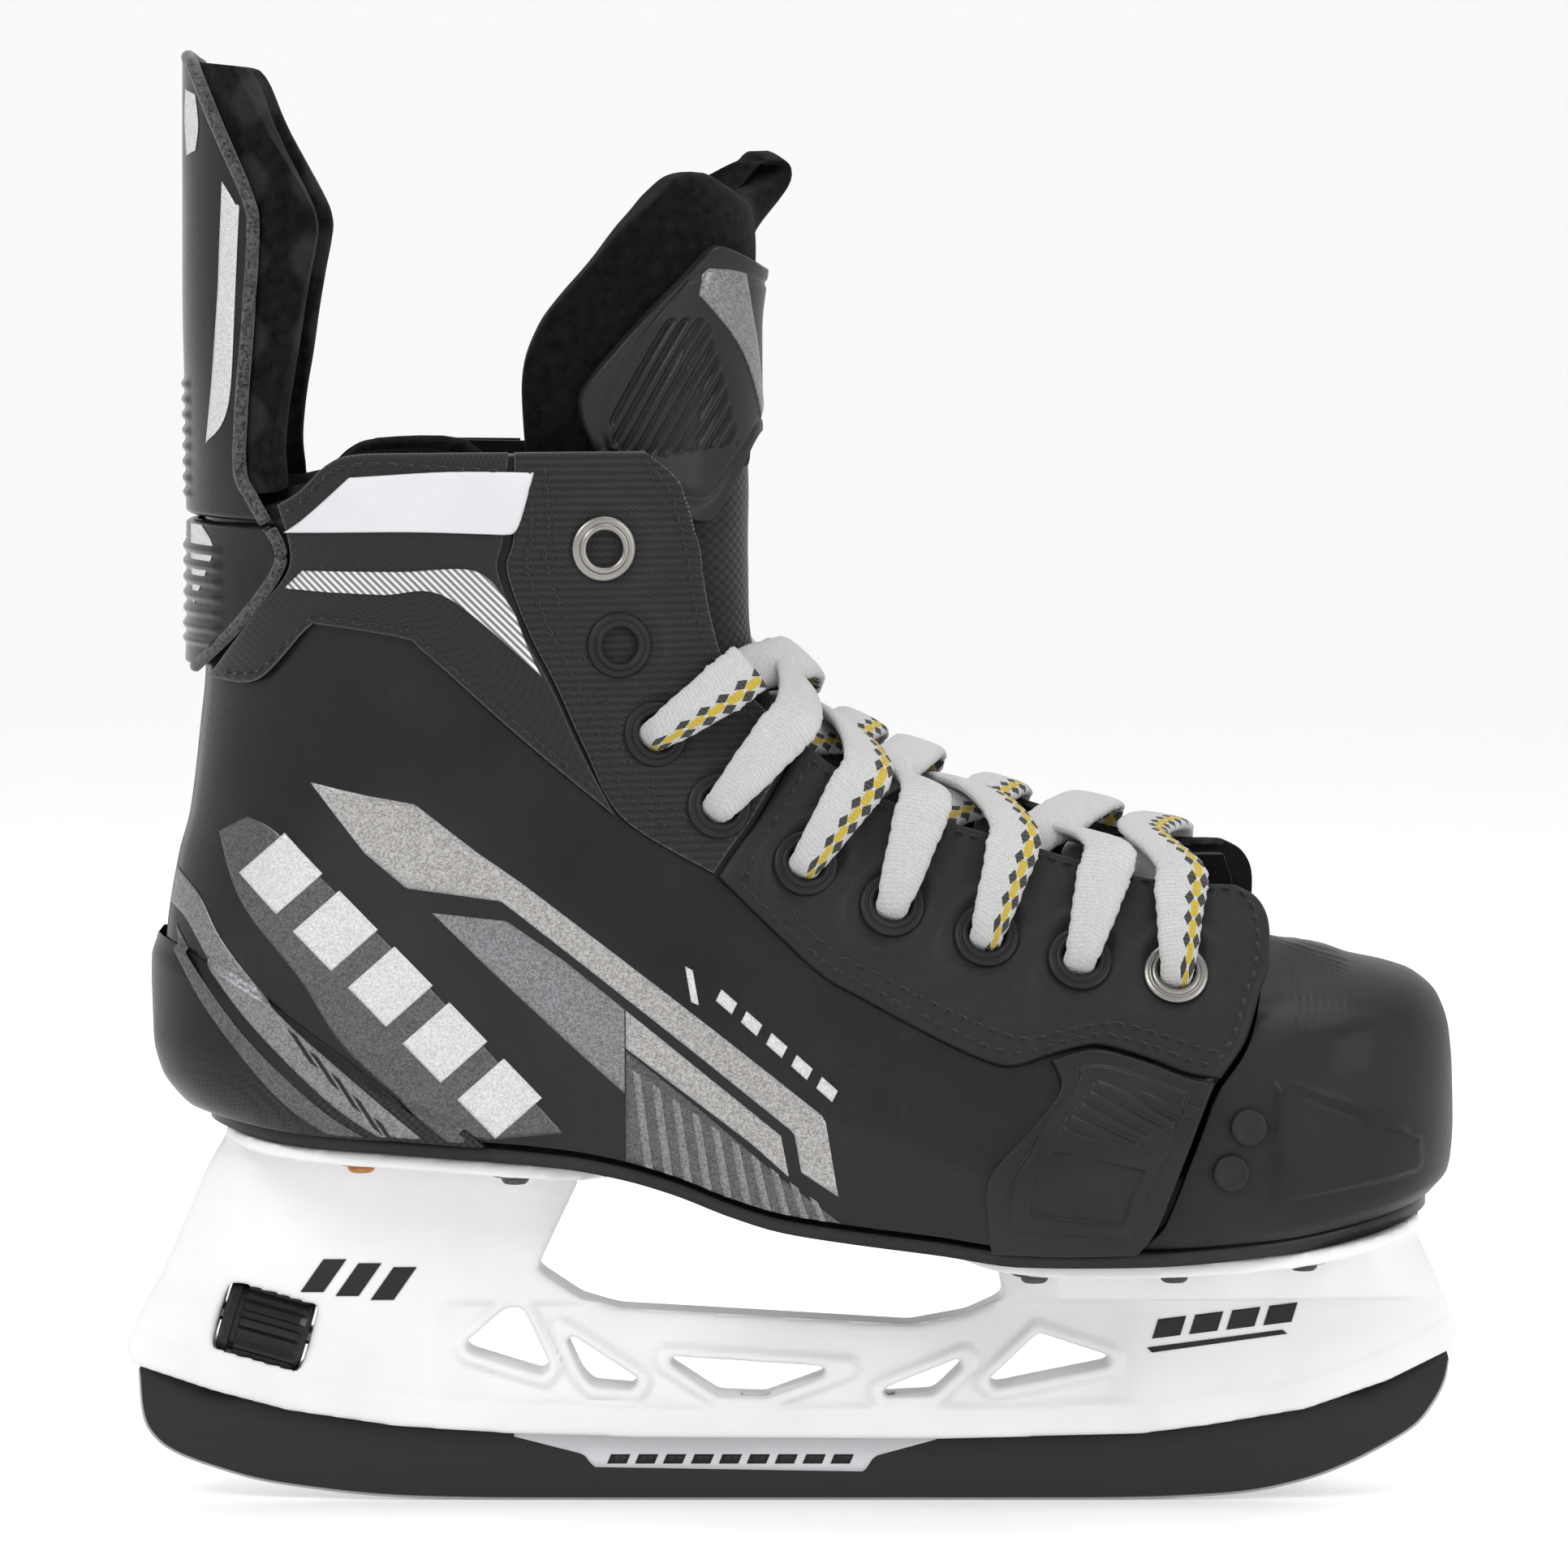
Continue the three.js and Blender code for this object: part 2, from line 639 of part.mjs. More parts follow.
// Plan of the sole: a round heel and a blunt oval toe.
const TOE_TIP = X(132.2);
const SOLE_BACK = X(-116);
const SOLE_TIP = X(127);
function soleHalf(x, back, tip) {
  const radius = HEEL_WIDTH / 2 - 2;
  const heel = Math.sqrt(1 - (1 - clamp((x - back) / radius, 0, 1)) ** 2);
  const reach = (x - X(68)) / (tip - X(68));
  const toe = (1 - clamp(reach, 0, 1) ** 2.6) ** (1 / 2.1);
  return (halfWidth(x, soleZ(x) + 1) - 1.2) * heel * toe;
}
function solePlate(back, tip, inset, low, high, cells) {
  return shaped(cells, 6, (u, v, w) => {
    const x = mix(back, tip, (1 - Math.cos(Math.PI * mix(0.05, 0.95, u))) / 2);
    const y = (2 * v - 1) * Math.max(soleHalf(x, back, tip) - inset, 1.5);
    return new THREE.Vector3(x, y + centre(x), soleZ(x) + mix(low, high, w));
  });
}

// ---- rivets through the flanges and the outsole ----
const RIVETS = [
  { name: "rear_1", x: X(-85), spread: 19, look: "copper" },
  { name: "rear_2", x: X(-54.6), spread: 19, look: "rubber" },
  { name: "front_1", x: X(47.9), spread: 24, look: "rubber" },
  { name: "front_2", x: X(75.5), spread: 24, look: "rubber" },
  { name: "front_3", x: X(101.2), spread: 22.5, look: "rubber" },
];
const underFlange = (x) => soleZ(x) - CLEAR - FLANGE_WALL;
const rivetPlaces = RIVETS.flatMap(({ name, x, spread, look }) =>
  SIDES.map(({ side, label }) => ({
    name: `rivet_${name}_${label}`,
    place: new THREE.Vector3(x, side * spread + centre(x), underFlange(x)),
    look,
  })),
);
const RIVET_SLOPE_GAP = 0.8; // the flange slopes under a level head
for (const { name, place, look } of rivetPlaces) {
  const length = FLANGE_WALL + CLEAR + OUTSOLE_WALL;
  const profile = [
    [0, -1.6 - RIVET_SLOPE_GAP],
    [RIVET_HEAD * 0.6, -1.5 - RIVET_SLOPE_GAP],
    [RIVET_HEAD, -0.6 - RIVET_SLOPE_GAP],
    [RIVET_HEAD, -RIVET_SLOPE_GAP],
    [RIVET_SHANK, -RIVET_SLOPE_GAP],
    [RIVET_SHANK, length],
    [0, length],
  ];
  add(name, turned(profile, 9).rotateX(Math.PI / 2).translate(place.x, place.y, place.z), look);
}
const rivetHoles = rivetPlaces.map(({ place }) => {
  const radius = (RIVET_SHANK + CLEAR) / Math.cos(Math.PI / 6);
  const rod = turned([[0, -9], [radius, -9], [radius, 12], [0, 12]], 6);
  return rod.rotateX(Math.PI / 2).translate(place.x, place.y, place.z);
});

add(
  "outsole",
  cutFrom(solePlate(SOLE_BACK, SOLE_TIP, 0, 0, OUTSOLE_WALL, 22), rivetHoles),
  "rubber",
);
const FOOTBED_INSET = SHELL_WALL + LINER_WALL - 1.6;
const FOOTBED_GAP = 0.9;
add(
  "footbed",
  solePlate(
    SOLE_BACK + 7,
    SOLE_TIP - 6,
    FOOTBED_INSET,
    OUTSOLE_WALL + FOOTBED_GAP,
    OUTSOLE_WALL + FOOTBED_GAP + FOOTBED_WALL,
    20,
  ),
  "felt",
);

// ---- toe cap ----
// Rows from the sole over the top: height above the sole, and how far out the row reaches.
const toeReach = graph([
  [0, 0.94], [5, 0.985], [15, 1], [26, 0.995], [34, 0.98], [41, 0.93], [46.5, 0.82],
  [50, 0.68], [53.2, 0.48], [57, 0.24], [59.4, 0.04],
]);
const TOE_ROWS = [0, 5, 15, 26, 34, 41, 46.5, 50, 53.2, 57, 59.4];
const toeHalf = BALL_WIDTH / 2 - 4.6;
const bootScale = BOOT_HEIGHT / LAST.boot;
function toePoint(turn, level) {
  const base = mix(OUTSOLE_WALL + CLEAR, 0, clamp(level / 8, 0, 1));
  const reach = toeReach(level);
  const z0 = Z(54) + level * bootScale;
  const back = seamX(z0) + CLEAR;
  const x = back + reach * (TOE_TIP - back) * Math.cos(turn) ** 0.84;
  const y = toeHalf * reach * Math.sign(turn) * Math.abs(Math.sin(turn)) ** 0.84;
  return new THREE.Vector3(x, y + centre(x), soleZ(x) + level * bootScale + base);
}
function onToe(turn, level, out) {
  const h = 0.02;
  const alongA = toePoint(Math.min(turn + h, Math.PI / 2), level).sub(
    toePoint(Math.max(turn - h, -Math.PI / 2), level),
  );
  const alongB = toePoint(turn, Math.min(level + 0.4, 59.4)).sub(
    toePoint(turn, Math.max(level - 0.4, 0)),
  );
  const normal = alongA.cross(alongB).normalize();
  return toePoint(turn, level).addScaledVector(normal, out);
}
const TOE_CELLS = TOE_ROWS.length - 1;
add(
  "toe_cap",
  shaped(16, TOE_CELLS, (u, v, w) => {
    const turn = ((2 * u - 1) * Math.PI) / 2;
    return onToe(turn, TOE_ROWS[Math.round(v * TOE_CELLS)], mix(-TOE_WALL, 0, w));
  }),
  "gloss",
);

// Round plugs in the toe cap beside its seam.
const PLUG_RADIUS = 3.6;
const PLUGS = drawn([[88.6, 80.4], [85.4, 71.5]]);
for (const { side, label } of SIDES) {
  PLUGS.forEach(([x, z], i) => {
    const level = (z - soleZ(x)) / bootScale;
    let turn = Math.PI / 2;
    while (toePoint(turn, level).x < x) turn -= 0.01;
    const spot = onToe(side * turn, level, 0);
    const axis = onToe(side * turn, level, 1).sub(spot).normalize();
    const profile = [
      [0, 0.6],
      [PLUG_RADIUS, 0.6],
      [PLUG_RADIUS, 1.2],
      [PLUG_RADIUS - 0.6, 1.8],
      [0, 1.8],
    ];
    add(`toe_plug_${label}_${i + 1}`, placed(turned(profile, 10), spot, axis), "rubber");
  });
}

// ---- tongue ----
const TONGUE_LINE = new THREE.SplineCurve(
  drawn([
    [86, 116], [68, 122.6], [48, 128.6], [24, 138], [3, 152], [-7, 169], [-8.6, 188],
    [-8.2, 211.2],
  ]).map(([x, z]) => new THREE.Vector2(x, z)),
);
const TONGUE_HALF = 25.5; // at the collar
const tongueHalf = graph([
  [0, THROAT_GAP / 2 - 6],
  [0.15, THROAT_GAP / 2 - 1.5],
  [0.72, THROAT_GAP / 2 - 1.5],
  [0.86, TONGUE_HALF - 2.5],
  [1, TONGUE_HALF],
]);
const tongueDepth = graph([[0, 9], [0.2, 22], [0.6, 34], [0.8, 42], [1, 47]]);
function tonguePoint(turn, v) {
  const spot = TONGUE_LINE.getPointAt(clamp(v, 0, 1));
  const run = TONGUE_LINE.getTangentAt(clamp(v, 0, 1));
  const drop = tongueDepth(v) * (1 - Math.cos(turn));
  const x = spot.x - run.y * drop;
  const z = spot.y + run.x * drop;
  return new THREE.Vector3(x, tongueHalf(v) * Math.sin(turn) + centre(spot.x), z);
}
function onTongue(turn, v, out) {
  const step = 0.004;
  const alongA = tonguePoint(turn + step, v).sub(tonguePoint(turn - step, v));
  const alongB = tonguePoint(turn, Math.min(v + step, 1)).sub(
    tonguePoint(turn, Math.max(v - step, 0)),
  );
  const normal = alongA.cross(alongB).normalize();
  return tonguePoint(turn, v).addScaledVector(normal, out);
}
const TONGUE_WRAP = 1.45; // radians to each side of the middle
add(
  "tongue_lower",
  shaped(10, 12, (u, v, w) => onTongue((2 * u - 1) * TONGUE_WRAP, v, mix(-TONGUE_FELT, 0, w))),
  "felt",
);

const TONGUE_FLEX_Z = Z(212.4);
const upperFront = graph([[Z(212), X(-8.2)], [Z(235), X(-8.4)], [Z(250), X(-7)], [Z(270), X(-9)]]);
const upperHalf = graph([
  [Z(212), TONGUE_HALF],
  [Z(240), TONGUE_HALF + 5.5],
  [Z(270), TONGUE_HALF + 7.5],
]);
const upperDepth = graph([[Z(212), 47], [Z(240), 48], [Z(270), 44]]);
function upperTonguePoint(turn, z) {
  const roll = 9 * ease((z - Z(242)) / Z(28)) * ease((turn - 0.2) / 0.9);
  const x = upperFront(z) - upperDepth(z) * (1 - Math.cos(turn)) + roll;
  return new THREE.Vector3(x, upperHalf(z) * Math.sin(turn), z);
}
const onUpperTongue = (turn, z, out) => {
  const step = 0.01;
  const alongA = upperTonguePoint(turn + step, z).sub(upperTonguePoint(turn - step, z));
  const alongB = upperTonguePoint(turn, z + step).sub(upperTonguePoint(turn, z - step));
  const normal = alongA.cross(alongB).normalize();
  return upperTonguePoint(turn, z).addScaledVector(normal, out);
};
const WING = [[1.5, 213.2], [1.5, 224], [1.4, 235], [1.22, 246], [1.06, 256], [0.86, 264.6]];
const upperTongueArea = patch({
  bottom: (t) => [mix(-1.5, 1.5, t), TONGUE_FLEX_Z + CLEAR],
  top: (t) => {
    const turn = mix(-0.86, 0.86, t);
    return [turn, Z(264.6) - 3 * Math.cos(turn * 3.6) * ease(1.4 - Math.abs(turn))];
  },
  back: edge(WING.map(([turn, z]) => [-turn, Z(z)])),
  front: edge(WING.map(([turn, z]) => [turn, Z(z)])),
});
add(
  "tongue_upper",
  shaped(14, 7, (u, v, w) => {
    const [turn, z] = upperTongueArea(u, v);
    return onUpperTongue(turn, z, mix(-TONGUE_FELT - 1, 0, w));
  }),
  "felt",
);
const PLATE_WALL = 2;
const PLATE_SIDE = [[1.16, 214.4], [1.2, 219], [1.14, 225], [0.86, 238], [0.62, 248]];
const plateArea = patch({
  bottom: (t) => [mix(-1.16, 1.16, t), Z(214.4)],
  top: (t) => [mix(-0.62, 0.62, t), Z(248) + 4 * Math.sin(Math.PI * t)],
  back: edge(PLATE_SIDE.map(([turn, z]) => [-turn, Z(z)])),
  front: edge(PLATE_SIDE.map(([turn, z]) => [turn, Z(z)])),
});
add(
  "tongue_plate",
  shaped(10, 6, (u, v, w) => {
    const [turn, z] = plateArea(u, v);
    return onUpperTongue(turn, z, mix(LAYER_GAP, LAYER_GAP + PLATE_WALL, w));
  }),
  "matte",
);

// ---- runner holder ----
const HOLDER_FOOT = drawn([
  [-130.8, 28], [-116, 23], [-100.6, 18.9], [-78.9, 15.7], [-55.8, 14.2], [-30, 13.4],
  [29.4, 13.1], [69.9, 14.2], [83.9, 16], [102.8, 19.2], [119.3, 25], [131.6, 31.2],
]);
const REAR_TOWER_BACK = drawn([
  [-112.5, 75], [-116.6, 68], [-120, 59.8], [-125.8, 46.7], [-130.2, 38.8], [-132.9, 32.2],
  [-132.6, 29.4],
]);
const REAR_TOWER_FRONT = drawn([[-50.8, 47.5], [-47.1, 55.5], [-42.5, 65]]);
const FRONT_TOWER_BACK = drawn([[41.6, 50], [41.4, 46], [42.4, 41.6]]);
const FRONT_TOWER_FRONT = drawn([[132.8, 33], [132.9, 35.1], [131, 40.9], [127.3, 49.4], [124.6, 55]]);
const BRIDGE_TOP = drawn([
  [34.9, 38.2], [23.6, 36.1], [-11.6, 38.2], [-34.3, 39.5], [-42, 41.6],
]);
const WINDOWS = [
  [[-57.2, 39.5], [-53.7, 39.8], [-48.2, 28], [-49.6, 26], [-64.5, 30.6], [-65.5, 32.3]],
  [[-46.1, 35.6], [-30.2, 25.1], [-31.5, 23.1], [-39.9, 23.9], [-42, 26.5]],
  [[-25.2, 29.9], [11.2, 27.5], [-4.9, 21.5], [-14.4, 21.7], [-24.9, 28.6]],
  [[34.6, 29.9], [35.6, 29.1], [28.5, 22], [18.4, 21.5], [17.8, 23.1]],
  [[49.3, 34.6], [64, 29.8], [63.7, 28], [40.6, 23.3], [39, 24.7]],
].map(drawn);
const underTower = (x) => underFlange(x) + 0.5;
const line = (from, to, steps) =>
  Array.from({ length: steps }, (_, i) => mix(from, to, i / (steps - 1)));
const holderOutline = [
  ...HOLDER_FOOT,
  ...FRONT_TOWER_FRONT,
  ...line(X(120), X(44), 5).map((x) => [x, underTower(x)]),
  ...FRONT_TOWER_BACK,
  ...BRIDGE_TOP,
  ...REAR_TOWER_FRONT,
  ...line(X(-44), X(-110), 5).map((x) => [x, underTower(x)]),
  ...REAR_TOWER_BACK,
];

// A tower widens as it nears its flange.
const towerHalf = (flangeWidth) =>
  graph([
    [0, flangeWidth * 0.23],
    [4, flangeWidth * 0.21],
    [10, flangeWidth * 0.16],
    [20, RAIL_WIDTH / 2],
  ]);
function tower(back, front, foot, flangeWidth) {
  const half = towerHalf(flangeWidth);
  const backX = graph(swap([...back].sort((a, b) => a[1] - b[1])));
  const frontX = graph(swap([...front].sort((a, b) => a[1] - b[1])));
  return shaped(
    8,
    5,
    (u, v, w) => {
      const near = mix(backX(Z(58)), frontX(Z(58)), u);
      const z = mix(foot, underTower(near), v);
      const inset = 0.6;
      const x = mix(backX(z) + inset, frontX(z) - inset, u);
      const round = (1 - Math.abs(2 * u - 1) ** 5) ** (1 / 3);
      const wide = mix(RAIL_WIDTH / 2, half(underTower(x) - z), round);
      return new THREE.Vector3(x, (2 * w - 1) * Math.max(wide, 3), z);
    },
    2,
  );
}
function flange(back, tip, width, cells) {
  return shaped(cells, 2, (u, v, w) => {
    const x = mix(back, tip, (1 - Math.cos(Math.PI * u)) / 2);
    const t = Math.abs((2 * (x - back)) / (tip - back) - 1);
    const half = (width / 2) * (1 - 0.93 * t ** 5) ** 0.5;
    return new THREE.Vector3(x, (2 * v - 1) * half + centre(x), underFlange(x) + w * FLANGE_WALL);
  });
}

// Lock: a wheel on a screw that draws the hook off the runner's lug.
const lockAxis = new THREE.Vector3(Math.cos(WHEEL_TILT), 0, -Math.sin(WHEEL_TILT));
const lockPlace = new THREE.Vector3(X(-105.2), 0, Z(35.9));
const alongLock = (distance) => lockPlace.clone().addScaledVector(lockAxis, distance);
const HOOK_TRAVEL = 6;
const HOOK_WIDTH = 5;
const hookBack = WHEEL_LENGTH / 2 + RUNNING + HOOK_TRAVEL + RUNNING;
const HOOK_LENGTH = 5;
const PRONG_LENGTH = 4;
const rod = (radius, from, to, segments) =>
  placed(
    turned([[0, from], [radius, from], [radius, to], [0, to]], segments),
    lockPlace,
    lockAxis,
  );
const wheelSpace = rod(
  WHEEL_RADIUS + RUNNING,
  -WHEEL_LENGTH / 2 - RUNNING,
  WHEEL_LENGTH / 2 + RUNNING,
  20,
);
const screwSpace = rod(SCREW_RADIUS + RUNNING, -WHEEL_LENGTH / 2 - 10, hookBack, 8);
const LUG_FLOOR = Z(15.7) + 11.3; // underside of the runner's rear lug
const PRONG_TOP = LUG_FLOOR - 0.9;
const hookFrontX = alongLock(hookBack + HOOK_LENGTH).x;
const LUG_X = hookFrontX + PRONG_LENGTH - 0.7; // the prong reaches this far under the lug
const hookSpace = extruded(
  [
    [alongLock(WHEEL_LENGTH / 2).x, PRONG_TOP - 3.8],
    [LUG_X + 13, PRONG_TOP - 3.8],
    [LUG_X + 13, LUG_FLOOR + 5.2],
    [hookFrontX + 1, LUG_FLOOR + 8],
    [alongLock(WHEEL_LENGTH / 2).x, LUG_FLOOR + 11],
  ],
  HOOK_WIDTH + 2 * RUNNING,
);

// How far the steel goes up into the holder: less under the lock wheel.
const TANG = 7;
const TANG_UNDER_WHEEL = 3;
const TANG_ROOM = 1.2;
const tang = (x) => mix(TANG_UNDER_WHEEL, TANG, ease((x - X(-96)) / X(6)));
const footZ = graph(HOLDER_FOOT);
const TANG_BACK = X(-117);
const TANG_FRONT = X(117);
const tangLine = [
  ...line(TANG_BACK, X(-96), 3),
  X(-93),
  ...line(X(-90), TANG_FRONT, 11),
];
const groove = extruded(
  [
    [TANG_BACK - 1.4, Z(8)],
    [TANG_FRONT + 1.4, Z(8)],
    ...tangLine
      .map((x) => [
        mix(TANG_BACK - 1.4, TANG_FRONT + 1.4, (x - TANG_BACK) / (TANG_FRONT - TANG_BACK)),
        footZ(x) + tang(x) + TANG_ROOM,
      ])
      .reverse(),
  ],
  STEEL + 2 * RUNNING,
);
const holderBody = joined([
  extruded(holderOutline, RAIL_WIDTH, WINDOWS),
  tower(REAR_TOWER_BACK, REAR_TOWER_FRONT, Z(50), REAR_FLANGE_WIDTH),
  tower(FRONT_TOWER_BACK, FRONT_TOWER_FRONT, Z(42), FRONT_FLANGE_WIDTH),
  flange(X(-112.5), X(-35.9), REAR_FLANGE_WIDTH, 12),
  flange(X(31), X(125.4), FRONT_FLANGE_WIDTH, 14),
]);
add(
  "blade_holder",
  cutFrom(holderBody, [groove, wheelSpace, screwSpace, hookSpace, ...rivetHoles]),
  "white",
);

// ---- lock wheel and hook ----
const FLUTES = 14;
const fluted = Array.from({ length: FLUTES * 2 }, (_, i) => {
  const radius = i % 2 ? WHEEL_RADIUS - 0.7 : WHEEL_RADIUS;
  const turn = (i * Math.PI) / FLUTES;
  return new THREE.Vector2(radius * Math.cos(turn), radius * Math.sin(turn));
});
const wheelShape = new THREE.Shape(fluted);
wheelShape.holes.push(new THREE.Path().absarc(0, 0, SCREW_RADIUS + CLEAR, 0, Math.PI * 2, true));
const wheel = new THREE.ExtrudeGeometry(wheelShape, {
  depth: WHEEL_LENGTH,
  bevelEnabled: false,
  curveSegments: 10,
});
wheel.translate(0, 0, -WHEEL_LENGTH / 2).rotateX(-Math.PI / 2);
add("lock_wheel", placed(wheel, lockPlace, lockAxis), "rubber");

const hookBlock = extruded(
  [
    [hookFrontX - HOOK_LENGTH, PRONG_TOP - 2],
    [hookFrontX + PRONG_LENGTH, PRONG_TOP - 2],
    [hookFrontX + PRONG_LENGTH, PRONG_TOP],
    [hookFrontX, PRONG_TOP],
    [hookFrontX, LUG_FLOOR + 6],
    [hookFrontX - HOOK_LENGTH, LUG_FLOOR + 7],
  ],
  HOOK_WIDTH,
);
const screw = rod(SCREW_RADIUS, -WHEEL_LENGTH / 2 - 3, hookBack + 1.5, 8);
add("lock_hook", joined([hookBlock, screw]), "steel");

// ---- runner ----
const RUNNER_UNDER = drawn([
  [-130.9, 26.4], [-130.5, 19.4], [-129.4, 15], [-126.6, 11.5], [-122.2, 8.9], [-115, 6.3],
  [-106.4, 3.9], [-94.8, 2.1], [-82.5, 0.8], [-67.3, 0.2], [-42.9, 0], [45.1, 0],
  [68, 0.15], [80, 0.6], [90.6, 1.4], [98.8, 2.9], [107, 5.3], [115.3, 9], [124.4, 14.4], [128.4, 18.9],
  [131, 23.9], [131.8, 28.4],
]);
const footLine = (from, to, steps) => line(from, to, steps).map((x) => [x, footZ(x) - CLEAR]);
const runnerOutline = [
  ...RUNNER_UNDER,
  ...footLine(X(131.2), TANG_FRONT, 4),
  ...tangLine
    .filter((x) => x > LUG_X + 9)
    .reverse()
    .map((x) => [x, footZ(x) + tang(x)]),
  [LUG_X + 9, footZ(LUG_X + 9) + TANG],
  [LUG_X + 8.5, LUG_FLOOR + 3.4],
  [LUG_X, LUG_FLOOR + 3.4],
  [LUG_X, LUG_FLOOR],
  [LUG_X + 3.2, LUG_FLOOR],
  [LUG_X + 3.2, PRONG_TOP - 3.2],
  ...tangLine
    .filter((x) => x < LUG_X)
    .reverse()
    .map((x) => [x, footZ(x) + tang(x)]),
  ...footLine(TANG_BACK, X(-130.4), 4),
];
add("blade_runner", extruded(runnerOutline, STEEL), "steel");

// ---- lace: a bar across the last pair of holes, then criss-cross up to the third pair ----
const throatAt = edge(THROAT.slice(4));
function throatNear([x, z]) {
  let best = 0;
  let least = Infinity;
  for (let i = 0; i <= 200; i += 1) {
    const [tx, tz] = throatAt(i / 200);
    const gap = Math.hypot(tx - x, tz - z);
    if (gap < least) [best, least] = [i / 200, gap];
  }
  return throatAt(best);
}
const LACE_OUT = FACING_OUT + 1.9 + LACE_TUBE; // clear of the eyelet flanges
const LACE_IN = -SHELL_WALL - 2.2;
const LAST_HOLE = EYELETS.length;
const TOP_HOLE = 3; // the first two holes are left empty
const between = (hole, lip, k) => [mix(hole[0], lip[0], k), mix(hole[1], lip[1], k)];

// Out through a hole and over the edge of the facing.
function overEdge(side, number) {
  const hole = EYELETS[number - 1];
  const lip = throatNear(hole);
  const run = new THREE.Vector3(lip[0] - hole[0], 0, lip[1] - hole[1]).normalize();
  const past = onSide(side, ...lip, LACE_OUT - 1.6).addScaledVector(run, 3);
  past.y -= side * 1.6;
  return [
    onSide(side, ...hole, LACE_IN),
    onSide(side, ...hole, LACE_OUT - 0.4),
    onSide(side, ...between(hole, lip, 0.8), LACE_OUT - 0.2),
    past,
  ];
}
// From the gap down behind the edge of the facing towards a hole.
function underEdge(side, number) {
  const hole = EYELETS[number - 1];
  return onSide(side, ...between(hole, throatNear(hole), 0.85), LACE_IN - 0.2);
}
// Over the tongue between two holes, `lift` above the felt.
function crossing(from, to, lift) {
  const low = throatNear(EYELETS[from - 1]);
  const high = throatNear(EYELETS[to - 1]);
  const run = new THREE.Vector2(high[0] - low[0], high[1] - low[1]).normalize();
  const x = (low[0] + high[0]) / 2 + run.y * lift;
  const z = (low[1] + high[1]) / 2 - run.x * lift;
  return new THREE.Vector3(x, centre(x), z);
}
// One half of the lace, from inside the last hole on `side` up to its tucked end.
function climb(side, lift) {
  const points = [underEdge(side, LAST_HOLE)];
  let at = side;
  for (let number = LAST_HOLE; number > TOP_HOLE; number -= 1) {
    if (number < LAST_HOLE) points.push(...overEdge(at, number));
    const extra = number === LAST_HOLE ? -3 : 0;
    points.push(crossing(number, number - 1, lift + (number === TOP_HOLE + 1 ? 4 : extra)));
    at = -at;
    points.push(underEdge(at, number - 1));
  }
  points.push(...overEdge(at, TOP_HOLE));
  return points;
}

class Route extends THREE.Curve {
  constructor(points) {
    super();
    this.points = points;
  }
  // Straight from point to point, so that each given point is a section of the tube.
  getPoint(t) {
    const place = clamp(t, 0, 1) * (this.points.length - 1);
    const i = Math.min(Math.floor(place), this.points.length - 2);
    return this.points[i].clone().lerp(this.points[i + 1], place - i);
  }
  getUtoTmapping(u) {
    return u;
  }
}
const bar = [
  ...overEdge(-1, LAST_HOLE),
  crossing(LAST_HOLE, LAST_HOLE - 1, 8),
  ...overEdge(1, LAST_HOLE).reverse(),
];
const lacePoints = [...climb(-1, 6.6).reverse(), ...bar, ...climb(1, 3.6)];
const laceSection = new THREE.Shape().absarc(0, 0, LACE_TUBE, 0, Math.PI * 2);
add(
  "lace",
  new THREE.ExtrudeGeometry(laceSection, {
    steps: lacePoints.length - 1,
    extrudePath: new Route(lacePoints),
    curveSegments: 4,
  }),
  "lace",
);

export default skate;
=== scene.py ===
# An ice hockey skate: a laced boot riveted to a moulded holder that carries a steel runner.
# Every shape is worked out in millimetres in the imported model's frame and written in metres.
import json

import bmesh
import bpy
import numpy as np
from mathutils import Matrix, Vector


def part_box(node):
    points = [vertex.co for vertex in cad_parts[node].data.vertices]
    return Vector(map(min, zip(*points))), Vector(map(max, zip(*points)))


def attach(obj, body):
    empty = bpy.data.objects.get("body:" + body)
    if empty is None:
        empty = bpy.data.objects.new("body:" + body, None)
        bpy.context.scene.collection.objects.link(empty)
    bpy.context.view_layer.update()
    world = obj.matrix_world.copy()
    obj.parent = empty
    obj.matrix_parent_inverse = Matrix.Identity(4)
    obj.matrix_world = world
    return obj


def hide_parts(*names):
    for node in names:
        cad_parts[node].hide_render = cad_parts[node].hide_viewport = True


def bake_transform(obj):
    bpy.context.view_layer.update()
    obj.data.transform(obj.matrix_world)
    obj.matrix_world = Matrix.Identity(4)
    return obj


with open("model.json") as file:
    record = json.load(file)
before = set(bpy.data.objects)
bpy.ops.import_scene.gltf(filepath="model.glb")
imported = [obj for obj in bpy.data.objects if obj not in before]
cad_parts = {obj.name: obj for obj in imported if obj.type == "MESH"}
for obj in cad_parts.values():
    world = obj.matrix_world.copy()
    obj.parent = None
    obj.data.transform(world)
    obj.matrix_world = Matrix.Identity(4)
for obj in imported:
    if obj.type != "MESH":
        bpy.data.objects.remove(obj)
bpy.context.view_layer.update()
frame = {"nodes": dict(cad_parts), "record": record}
MM = 0.001

# ---- Floor, light and camera ----
# The skate stands in a wide, plain, pale bowl under a pale sky, with three large soft lamps.
# The camera stands level with the laces on the outer side of the boot, a long way off.
FRAME_WIDTH = 312.4  # of the picture, at the middle of the boot
CAMERA_AWAY = 1500
SENSOR = 36
CAMERA_RISE = np.radians(5)
AIM = Vector((-1.5, 0, 144.2)) * MM


def plain(name, colour, roughness, glow=0.0):
    material = bpy.data.materials.new(name)
    material.use_nodes = True
    shader = material.node_tree.nodes["Principled BSDF"]
    shader.inputs["Base Color"].default_value = (*colour, 1)
    shader.inputs["Roughness"].default_value = roughness
    shader.inputs["Emission Color"].default_value = (1, 1, 1, 1)
    shader.inputs["Emission Strength"].default_value = glow
    return material


